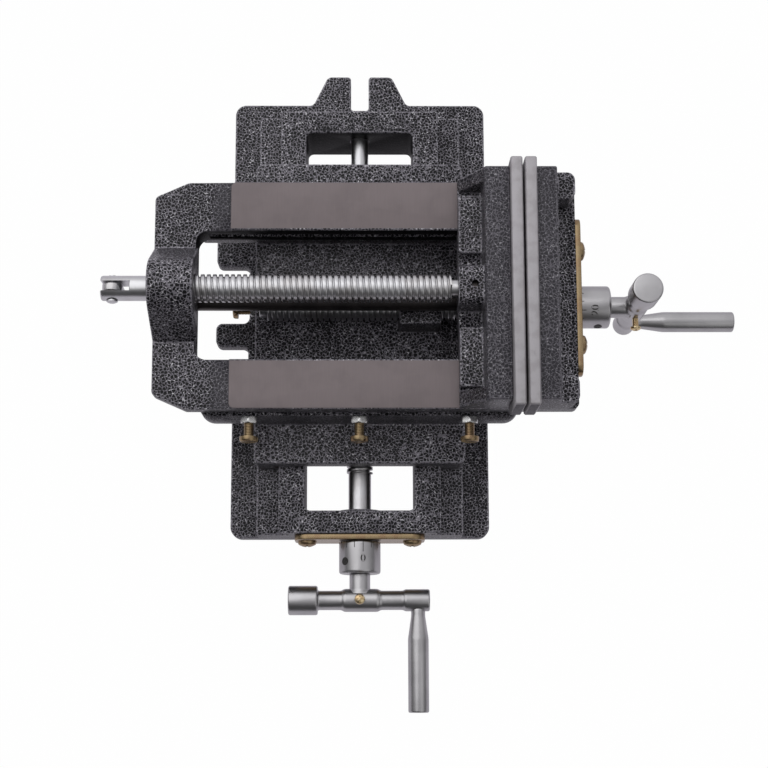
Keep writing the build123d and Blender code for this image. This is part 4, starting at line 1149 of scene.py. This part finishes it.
@dataclass
class Drive(Assembly):
    """A lead screw with its dial and balanced crank, and the screws of its bearing plate.

    Heights are counted outwards from the outer face of the bearing plate, and turns are in degrees.
    """

    letter: str
    station: Station
    body: str
    plate_body: str
    smooth_end: float
    tail_end: float
    tail_length: float
    tail_radius: float
    hole_turn: float
    number_turn: float
    first_number: int
    screw_side: int
    plate_screws: Sequence[Span]
    thread_radius: float = 7.0 * MM
    thread_depth: float = 1.5 * MM
    pitch: float = 3.0 * MM
    run_out: float = 0.5 * MM
    overlap: float = 1.0 * MM
    journal_radius: float = 6.0 * MM
    stem_radius: float = 4.0 * MM
    stem_past_arm: float = 3.5 * MM
    collar_radius: float = 9.0 * MM
    collar_top: float = -3.15 * MM
    collar_length: float = 4.0 * MM
    fine_edge: float = 0.3 * MM
    edge: float = 0.5 * MM
    dial_radius: float = 11.0 * MM
    dial_start: float = 0.3 * MM
    dial_end: float = 17.4 * MM
    dial_rim: float = 1.6 * MM
    dial_hole_station: float = 11.2 * MM
    dial_hole_radius: float = 2.15 * MM
    dial_hole_lift: float = 0.05 * MM
    arm_station: float = 31.3 * MM
    arm_edge: float = 1.1 * MM
    neck_radius: float = 5.5 * MM
    neck_gap: float = 0.05 * MM
    neck_flare: float = 0.8 * MM
    flare_height: float = 3.2 * MM
    neck_sink: float = 0.4 * MM
    rod_radius: float = 5.1 * MM
    hub_radius: float = 6.1 * MM
    hub_left: float = -8.2 * MM
    hub_right: float = 9.5 * MM
    hub_slope: float = 1.6 * MM
    weight_radius: float = 7.75 * MM
    weight_left: float = -37.8 * MM
    weight_right: float = -22.3 * MM
    small_radius: float = 5.85 * MM
    small_left: float = 24.0 * MM
    small_right: float = 37.0 * MM
    small_slope: float = 1.2 * MM
    grip_offset: float = 30.8 * MM
    grip_radius: float = 5.45 * MM
    grip_neck: float = 3.7 * MM
    grip_start: float = 36.45 * MM
    grip_neck_length: float = 3.2 * MM
    grip_taper: float = 12.0 * MM
    grip_end: float = 90.0 * MM
    set_screw_radius: float = 1.6 * MM
    set_screw_depth: float = 0.28 * MM
    set_screw_pitch: float = 0.6 * MM
    set_screw_start: float = 4.2 * MM
    set_screw_rise: float = 4.5 * MM
    shank_radius: float = 2.5 * MM
    shank_length: float = 12.7 * MM
    shank_sink: float = 0.2 * MM
    divisions: int = 15
    lines_to_number: int = 5
    line_value: int = 2
    long_line: float = 5.9 * MM
    short_line: float = 3.6 * MM
    line_width: float = 0.4 * MM
    line_start: float = 0.5 * MM
    ink_lift: float = 0.012 * MM
    ink_depth: float = 0.2 * MM
    number_foot: float = 11.5 * MM
    number_size: float = 5.4 * MM
    number_width: float = 1.06
    number_stroke: float = 0.09 * MM
    number_lift: float = 0.02 * MM
    number_sink: float = 0.008 * MM

    def build(self) -> None:
        """Make the whole drive."""
        self.make_screw()
        self.make_dial()
        self.make_marks()
        self.make_arm()
        self.make_grip()
        self.make_set_screw()
        self.make_plate_screws()
        self.dress(Slot.BRIGHT, f"{self.letter}_dial_set_screw")

    def make_screw(self) -> None:
        """Make the lead screw with its plain end, thread and tail."""
        collar_low = self.collar_top - self.collar_length
        core = self.thread_radius - self.thread_depth
        start = self.smooth_end - self.overlap
        top = self.arm_station + self.stem_past_arm
        outer = stepped((self.journal_radius, self.smooth_end, collar_low),
                        (self.collar_radius, collar_low, self.collar_top),
                        (self.journal_radius, self.collar_top, self.dial_end),
                        (self.stem_radius, self.dial_end, top))
        outer = softened([(0, start), (core, start), *outer[1:]], self.fine_edge)
        thread_end = self.tail_end + self.tail_length
        tail = softened([(0, self.tail_end), (self.tail_radius, self.tail_end),
                         (self.tail_radius, thread_end), (core, thread_end + self.run_out),
                         (0, thread_end + self.overlap)], self.edge)
        thread = screw_thread(self.thread_radius, self.thread_depth, self.pitch, thread_end,
                              self.smooth_end, steps=32)
        solids = (turned(outer, steps=48), turned(tail, steps=40), thread)
        shells = [solid.at(self.station) for solid in solids]
        self.place(f"{self.letter}_screw_thread", shells, self.body, Slot.BRIGHT, f"{self.letter}_lead_screw")

    def round_dial(self, turn: float, height: float) -> Station:
        """A place on the dial's surface, facing outwards."""
        across, up = math.cos(turn), math.sin(turn)
        out = self.station.world(np.array([[across, up, 0]]))[0] - np.array(self.station.origin)
        spot = self.station.moved(self.dial_radius * across, self.dial_radius * up, height)
        return Station(spot.origin, tuple(out), self.station.out)

    def make_dial(self) -> None:
        """Make the dial ring with its rounded rim, and a near-black disc as painted shade in its set-screw
        hole.
        """
        bore = self.journal_radius
        section = softened([(bore, self.dial_start), (self.dial_radius, self.dial_start),
                            (self.dial_radius, self.dial_end), (bore, self.dial_end)], self.dial_rim, steps=6)
        dial = turned(np.vstack([section, section[:1]]), steps=96)
        self.place(f"{self.letter}_dial_ring", [dial.at(self.station)], self.body, Slot.SATIN,
                   f"{self.letter}_dial")
        # Painted shade: a thin near-black disc on the dial where its set-screw hole is.
        hole = turned(stepped((self.dial_hole_radius, 0, self.dial_hole_lift)), steps=28)
        place = self.round_dial(math.radians(self.hole_turn), self.dial_hole_station)
        self.place(f"{self.letter}_dial_hole_shade", [hole.at(place)], self.body, Slot.SATIN, finish=HOLE_SHADE_INK)

    def make_marks(self) -> None:
        """Make the dial's lines and numbers as thin dark fillings wrapped on its surface."""
        first = math.radians(self.number_turn)
        turns = [first + k * FULL_TURN / self.divisions for k in range(self.divisions)]
        shells = []
        for k, turn in enumerate(turns):
            length = self.short_line if k % self.lines_to_number else self.long_line
            shells.append(self.wrapped_bar(turn, self.line_width, self.line_start, length).at(self.station))
        self.place(f"{self.letter}_dial_lines", shells, self.body, Slot.SATIN, finish=Ink())
        for k in range(0, self.divisions, self.lines_to_number):
            value = (self.first_number + self.line_value * k) % (self.line_value * self.divisions)
            self.make_number(str(value), turns[k], k)

    def wrapped_bar(self, turn: float, width: float, start: float, length: float) -> Shell:
        """A thin strip on the dial: an arc of small width, from one height to another.

        Args:
            turn: Angle of its middle about the drive's axis.
            width: Width along the arc.
            start: Lower end.
            length: Length along the axis.

        Returns:
            The shell in the drive's local coordinates.
        """
        bend = np.array([-0.5, 0.5, 0.5, -0.5]) * width / self.dial_radius + turn
        lift = self.dial_radius + np.array([self.ink_lift, self.ink_lift, -self.ink_depth, -self.ink_depth])
        outline = np.stack([lift * np.cos(bend), lift * np.sin(bend)], -1)
        middle = outline.mean(0)
        end = start + length
        rows = [(middle, start), (outline, start), (outline, end), (middle, end)]
        grid = np.array([np.column_stack([np.broadcast_to(row, (4, 2)), np.full(4, height)])
                         for row, height in rows])
        return Shell.of_grid(grid)

    def make_number(self, text: str, turn: float, index: int) -> None:
        """Make one number, set flat and then wrapped on the dial with its feet towards the crank.

        A point's distance to the side becomes an arc of the same length on the dial.

        Args:
            text: The digits.
            turn: Angle of its middle about the drive's axis.
            index: Number of its line, for the piece's name.
        """
        curve = bpy.data.curves.new("number", "FONT")
        curve.body = text
        curve.size = self.number_size
        curve.align_x = "CENTER"
        curve.offset = self.number_stroke
        curve.extrude = self.number_lift
        mesh = evaluated(bpy.data.objects.new("number", curve))
        points = read(mesh.vertices, "co", 3) * np.array([self.number_width, 1, 1])
        bend = turn - points[:, 0] / self.dial_radius
        lift = self.dial_radius + points[:, 2] - self.number_sink
        local = np.stack([lift * np.cos(bend), lift * np.sin(bend), self.number_foot - points[:, 1]], -1)
        mesh.vertices.foreach_set("co", self.station.world(local).reshape(-1))
        mesh.materials.clear()
        piece = finished(f"{self.letter}_number_{index}", mesh, [self.palette.of(Ink())], sharp=60.0)
        self.settle(piece, self.body, Slot.SATIN)

    def arm_place(self, out: np.ndarray | Point) -> Station:
        """The middle of the crank arm, with another direction as its axis."""
        return Station(self.station.moved(z=self.arm_station).origin, tuple(out), self.station.out)

    def make_arm(self) -> None:
        """Make the crank arm: weight, rod, hub and small end as one turned bar, with its neck."""
        bar = stepped((self.weight_radius, self.weight_left, self.weight_right),
                      (self.rod_radius, self.weight_right, self.hub_left - self.hub_slope),
                      (self.hub_radius, self.hub_left, self.hub_right),
                      (self.rod_radius, self.hub_right + self.hub_slope, self.small_left - self.small_slope),
                      (self.small_radius, self.small_left, self.small_right))
        bar = softened(bar, self.arm_edge, steps=5)
        foot = self.dial_end + self.neck_gap
        neck = softened([(0, foot), (self.neck_radius, foot),
                         (self.neck_radius, self.arm_station - self.rod_radius - self.neck_sink),
                         (self.neck_radius + self.neck_flare, self.arm_station - self.flare_height),
                         (0, self.arm_station)], self.edge)
        shells = [turned(bar, steps=72).at(self.arm_place(self.station.side)),
                  turned(neck, steps=56).at(self.station)]
        self.place(f"{self.letter}_crank_bar", shells, self.body, Slot.SATIN, f"{self.letter}_crank_arm")

    def make_grip(self) -> None:
        """Make the tapered grip."""
        start = self.grip_start - self.overlap
        taper = self.grip_start + self.grip_neck_length
        profile = stepped((self.grip_neck, start, taper),
                          (self.grip_radius, taper + self.grip_taper, self.grip_end))
        shell = turned(softened(profile, self.overlap, steps=5)).at(self.station.moved(x=self.grip_offset))
        self.place(f"{self.letter}_crank_handle", [shell], self.body, Slot.SATIN, f"{self.letter}_crank_grip")

    def make_set_screw(self) -> None:
        """Make the brass screw on the hub."""
        under = self.hub_radius + self.set_screw_rise
        place = self.arm_place(np.cross(self.station.out, self.station.side) * self.screw_side)
        thread = screw_thread(self.set_screw_radius, self.set_screw_depth, self.set_screw_pitch,
                              self.set_screw_start, under, steps=20)
        shells = [thread.at(place), SET_HEAD.shell().at(place.moved(z=under))]
        self.place(f"{self.letter}_brass_screw", shells, self.body, Slot.BRASS,
                   f"{self.letter}_crank_set_screw")

    def make_plate_screws(self) -> None:
        """Make the bearing plate's two screws."""
        shank = turned(stepped((self.shank_radius, -self.shank_length, self.shank_sink)), steps=24)
        shells = []
        for x, y in self.plate_screws:
            place = self.station.moved(x, y)
            shells += [PLATE_HEAD.shell().at(place), shank.at(place)]
        self.place(f"{self.letter}_plate_screw_heads", shells, self.plate_body, Slot.YELLOW,
                   f"{self.letter}_plate_screws")


@dataclass
class GibScrews(Assembly):
    """The adjusting screws of both slides, with their locknuts."""

    radius: float = 2.5 * MM
    thread_depth: float = 0.4 * MM
    pitch: float = 0.8 * MM
    inside: float = 6.0 * MM
    under_head: float = 10.4 * MM
    head_sink: float = 0.1 * MM
    locknut_half: float = 4.0 * MM
    locknut_height: float = 3.6 * MM
    bevel_drops: tuple[float, ...] = (0.0, 0.0, 0.25 * MM, 0.6 * MM)
    bevel_reaches: tuple[float, ...] = (-0.65 * MM, -0.3 * MM, 0.02 * MM)
    locknut_columns: int = 72
    turns: tuple[float, ...] = (12.0, 48.0, -25.0)

    def build(self) -> None:
        """Make the screws of both slides and dress the hidden strips."""
        self.make("x", (0, -1, 0), (1, 0, 0))
        self.make("y", (-1, 0, 0), (0, 1, 0))
        self.dress(Slot.IRON, "x_gib", "y_gib")

    def places(self, letter: str, out: Point, side: Point) -> list[Station]:
        """Where the three screws meet the casting, from the box of their locknuts.

        Args:
            letter: The slide's letter.
            out: Direction in which the screws point.
            side: Direction of the slide's travel.

        Returns:
            One station for each screw.
        """
        low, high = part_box(f"{letter}_gib_locknuts")
        along = 0 if letter == "x" else 1
        half = (high[along] - low[along]) / 2 - self.corner()
        face = (low + high) / 2
        face[1 - along] = high[1 - along]
        result = []
        for shift in (-half, 0, half):
            origin = face.copy()
            origin[along] += shift
            result.append(Station(tuple(origin), out, side))
        return result

    def make(self, letter: str, out: Point, side: Point) -> None:
        """Make one slide's screws and locknuts."""
        thread = screw_thread(self.radius, self.thread_depth, self.pitch, -self.inside,
                              self.under_head + self.head_sink, steps=24)
        screws, nuts = [], []
        for station, turn in zip(self.places(letter, out, side), self.turns):
            spun = self.spun(station, turn)
            screws += [thread.at(spun), GIB_HEAD.shell().at(spun.moved(z=self.under_head))]
            nuts.append(self.locknut().at(self.spun(station, 0)))
        self.place(f"{letter}_gib_screw_set", screws, "saddle_group", Slot.YELLOW, f"{letter}_gib_screws")
        self.place(f"{letter}_locknut_set", nuts, "saddle_group", Slot.SILVER, f"{letter}_gib_locknuts")

    def spun(self, station: Station, turn: float) -> Station:
        """A station turned about its own axis, by an angle in degrees."""
        side = Matrix.Rotation(math.radians(turn), 3, Vector(station.out)) @ Vector(station.side)
        return Station(station.origin, station.out, tuple(side))

    def corner(self) -> float:
        """Distance of a locknut's corner from its axis."""
        return self.locknut_half / math.cos(math.pi / 6)

    def locknut(self) -> Shell:
        """A hexagon nut whose corners are bevelled at both faces.

        The outline's reach at an angle is half the width over the cosine of the angle from the
        nearest flat's middle, limited near each face to a cone.

        Returns:
            The shell.
        """
        angle = np.arange(self.locknut_columns) * FULL_TURN / self.locknut_columns
        flat = self.locknut_half / np.cos((angle + math.pi / 6) % (math.pi / 3) - math.pi / 6)
        drop = np.array(self.bevel_drops)
        heights = np.concatenate([drop, self.locknut_height - drop[::-1]])
        limits = np.array([0] + [self.corner() + reach for reach in self.bevel_reaches])
        limits = np.concatenate([limits, limits[::-1]])
        return Shell.of_grid(ring(np.minimum(flat[None], limits[:, None]), angle, heights[:, None]))


@dataclass
class PlainPieces(Assembly):
    """Nodes whose modelled shape stays and which only need their finish."""

    def build(self) -> None:
        """Dress the rod and the hidden nuts, keepers and screws."""
        self.dress(Slot.DARK, "guide_rod")
        self.dress(Slot.IRON, "y_nut", "jaw_keepers")
        self.dress(Slot.BRIGHT, "fixed_plate_screws", "movable_plate_screws", "keeper_screws", "x_nut_screws",
                   "y_nut_screws")


@dataclass(frozen=True)
class Lamp:
    """A square soft lamp: where it hangs, its side in metres and its power in watts."""

    name: str
    place: Point
    size: float
    power: float

    def build(self, target: Point) -> None:
        """Hang the lamp so that it faces a point."""
        data = bpy.data.lights.new(self.name, "AREA")
        data.size = self.size
        data.energy = self.power
        lamp = bpy.data.objects.new(self.name, data)
        lamp.location = self.place
        lamp.rotation_euler = (Vector(target) - Vector(self.place)).to_track_quat("-Z", "Y").to_euler()
        bpy.context.scene.collection.objects.link(lamp)


@dataclass
class Studio:
    """Camera, soft lamps, floor and background."""

    focal_pixels: float = 1478.0
    sensor: float = 36.0
    tilt: float = 9.036
    yaw: float = -0.642
    roll: float = -0.065
    place: Point = (4.1 * MM, -207.2 * MM, 803.9 * MM)
    shift_up: float = 0.1
    floor_half: float = 3.0
    floor_level: float = -0.0005
    floor_camera_share: float = 0.99
    floor_mirror_share: float = 0.6
    floor_matt: Colour = (0.4, 0.4, 0.41)
    floor_mirrored: Colour = (0.96, 0.92, 1.0)
    white: Colour = (1.0, 1.0, 1.0)
    light_colour: Colour = (0.98, 0.97, 1.0)
    light_tilt: float = 52.0
    dark_until: float = -0.2
    pale_from: float = 0.95
    horizon_light: float = 0.08
    overhead_light: float = 0.9
    target: Point = (0.0, 0.0, 0.03)
    lamps: tuple[Lamp, ...] = (Lamp("key", (-0.55, 0.45, 1.15), 1.6, 6.0),
                               Lamp("fill", (0.75, -0.75, 0.9), 1.0, 1.6))

    def build(self) -> None:
        """Set up the whole studio."""
        self.make_camera()
        self.make_world()
        self.make_floor()
        for lamp in self.lamps:
            lamp.build(self.target)
        bpy.context.scene.view_settings.view_transform = "Standard"

    def make_camera(self) -> None:
        """Place the camera by its fitted position and its angles about its own Z, Y and X in that order."""
        data = bpy.data.cameras.new("camera")
        data.sensor_width = self.sensor
        data.lens = self.focal_pixels / IMAGE_PIXELS * self.sensor
        data.shift_y = self.shift_up
        camera = bpy.data.objects.new("camera", data)
        camera.rotation_mode = "ZYX"
        camera.rotation_euler = tuple(math.radians(angle) for angle in (self.tilt, self.yaw, self.roll))
        camera.location = self.place
        bpy.context.scene.collection.objects.link(camera)
        bpy.context.scene.camera = camera

    def make_world(self) -> None:
        """A studio that is pale overhead and behind, dark in front, and that the camera sees as white."""
        world = bpy.data.worlds.new("studio")
        world.use_nodes = True
        nodes = Nodes(world.node_tree, "ShaderNodeOutputWorld")
        tilt = math.radians(self.light_tilt)
        direction = nodes.add("ShaderNodeTexCoord").outputs["Generated"]
        facing = nodes.add("ShaderNodeVectorMath", {0: direction, 1: (0, math.sin(tilt), math.cos(tilt))},
                           operation="DOT_PRODUCT").outputs["Value"]
        level = nodes.ramp(facing, self.dark_until, self.pale_from, self.horizon_light, self.overhead_light)
        light = nodes.add("ShaderNodeBackground", {"Color": (*self.light_colour, 1), "Strength": level})
        white = nodes.add("ShaderNodeBackground", {"Color": (*self.white, 1), "Strength": 1.0})
        seen = nodes.add("ShaderNodeLightPath").outputs["Is Camera Ray"]
        mix = nodes.add("ShaderNodeMixShader", {0: seen, 1: light.outputs[0], 2: white.outputs[0]})
        nodes.finish(mix.outputs[0])
        bpy.context.scene.world = world

    def make_floor(self) -> None:
        """A pale floor that shows nearly white and keeps a faint shadow."""
        half = self.floor_half
        mesh = bpy.data.meshes.new("floor")
        corners = [(-half, -half), (half, -half), (half, half), (-half, half)]
        mesh.from_pydata([(x, y, self.floor_level) for x, y in corners], [], [(0, 1, 2, 3)])
        floor = bpy.data.objects.new("floor", mesh)
        bpy.context.scene.collection.objects.link(floor)
        shader = Shader("pale floor")
        matt = shader.add("ShaderNodeBsdfDiffuse", {"Color": (*self.floor_matt, 1)})
        path = shader.add("ShaderNodeLightPath").outputs
        colour = shader.blend(path["Is Camera Ray"], self.floor_mirrored, self.white)
        white = shader.add("ShaderNodeEmission", {"Color": colour, "Strength": 1.0})
        seen = shader.combine("MULTIPLY", path["Is Camera Ray"], self.floor_camera_share)
        mirrored = shader.combine("MULTIPLY", path["Is Glossy Ray"], self.floor_mirror_share)
        amount = shader.combine("MAXIMUM", seen, mirrored)
        mix = shader.add("ShaderNodeMixShader", {0: amount, 1: matt.outputs[0], 2: white.outputs[0]})
        shader.finish(mix.outputs[0])
        mesh.materials.append(shader.material)


def drives(frame: dict, palette: Palette) -> list[Drive]:
    """The two lead-screw drives, each at the outer face of its bearing plate.

    Args:
        palette: The finishes.

    Returns:
        The drive along Y and the drive along X.
    """
    y_face, x_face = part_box("y_bearing_plate")[0].y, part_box("x_bearing_plate")[1].x
    y_dial = sum(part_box("y_dial"), Vector()) / 2
    x_dial = sum(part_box("x_dial"), Vector()) / 2
    y_screw, x_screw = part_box("y_lead_screw"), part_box("x_lead_screw")
    y_heads, x_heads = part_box("y_plate_screws"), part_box("x_plate_screws")
    y_spread = (y_heads[1].x - y_heads[0].x) / 2 - PLATE_HEAD.radius
    x_spread = (x_heads[1].y - x_heads[0].y) / 2 - PLATE_HEAD.radius
    x_drop = x_dial.z - (x_heads[0].z + x_heads[1].z) / 2
    y_station = Station((y_dial.x, y_face, y_dial.z), (0, -1, 0), (1, 0, 0))
    x_station = Station((x_face, x_dial.y, x_dial.z), (1, 0, 0), (0, 0, -1))
    return [
        Drive(frame, palette, "y", y_station, "y_screw_group", "base_group", smooth_end=-36.0 * MM,
              tail_end=y_face - y_screw[1].y, tail_length=28 * MM, tail_radius=4.7 * MM,
              hole_turn=135.0, number_turn=80.6, first_number=0, screw_side=1,
              plate_screws=[(-y_spread, 0.0), (y_spread, 0.0)]),
        Drive(frame, palette, "x", x_station, "x_screw_group", "vise_group", smooth_end=-27.15 * MM,
              tail_end=x_screw[0].x - x_face, tail_length=4 * MM, tail_radius=5.5 * MM, hole_turn=-100.0,
              number_turn=-158.0, first_number=20, screw_side=-1, long_line=3.8 * MM, short_line=2.6 * MM,
              number_foot=10.6 * MM, plate_screws=[(x_drop, -x_spread), (x_drop, x_spread)]),
    ]


def main() -> None:
    """Build the vise's pieces in order and set up the studio."""
    logging.basicConfig(level=logging.INFO, format="%(message)s")
    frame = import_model()
    palette = Palette()
    EdgePieces(frame, palette).build()
    PlainPieces(frame, palette).build()
    MainScrew(frame, palette).build()
    GibScrews(frame, palette).build()
    for drive in drives(frame, palette):
        drive.build()
    Studio().build()


if __name__ == "__main__":
    main()
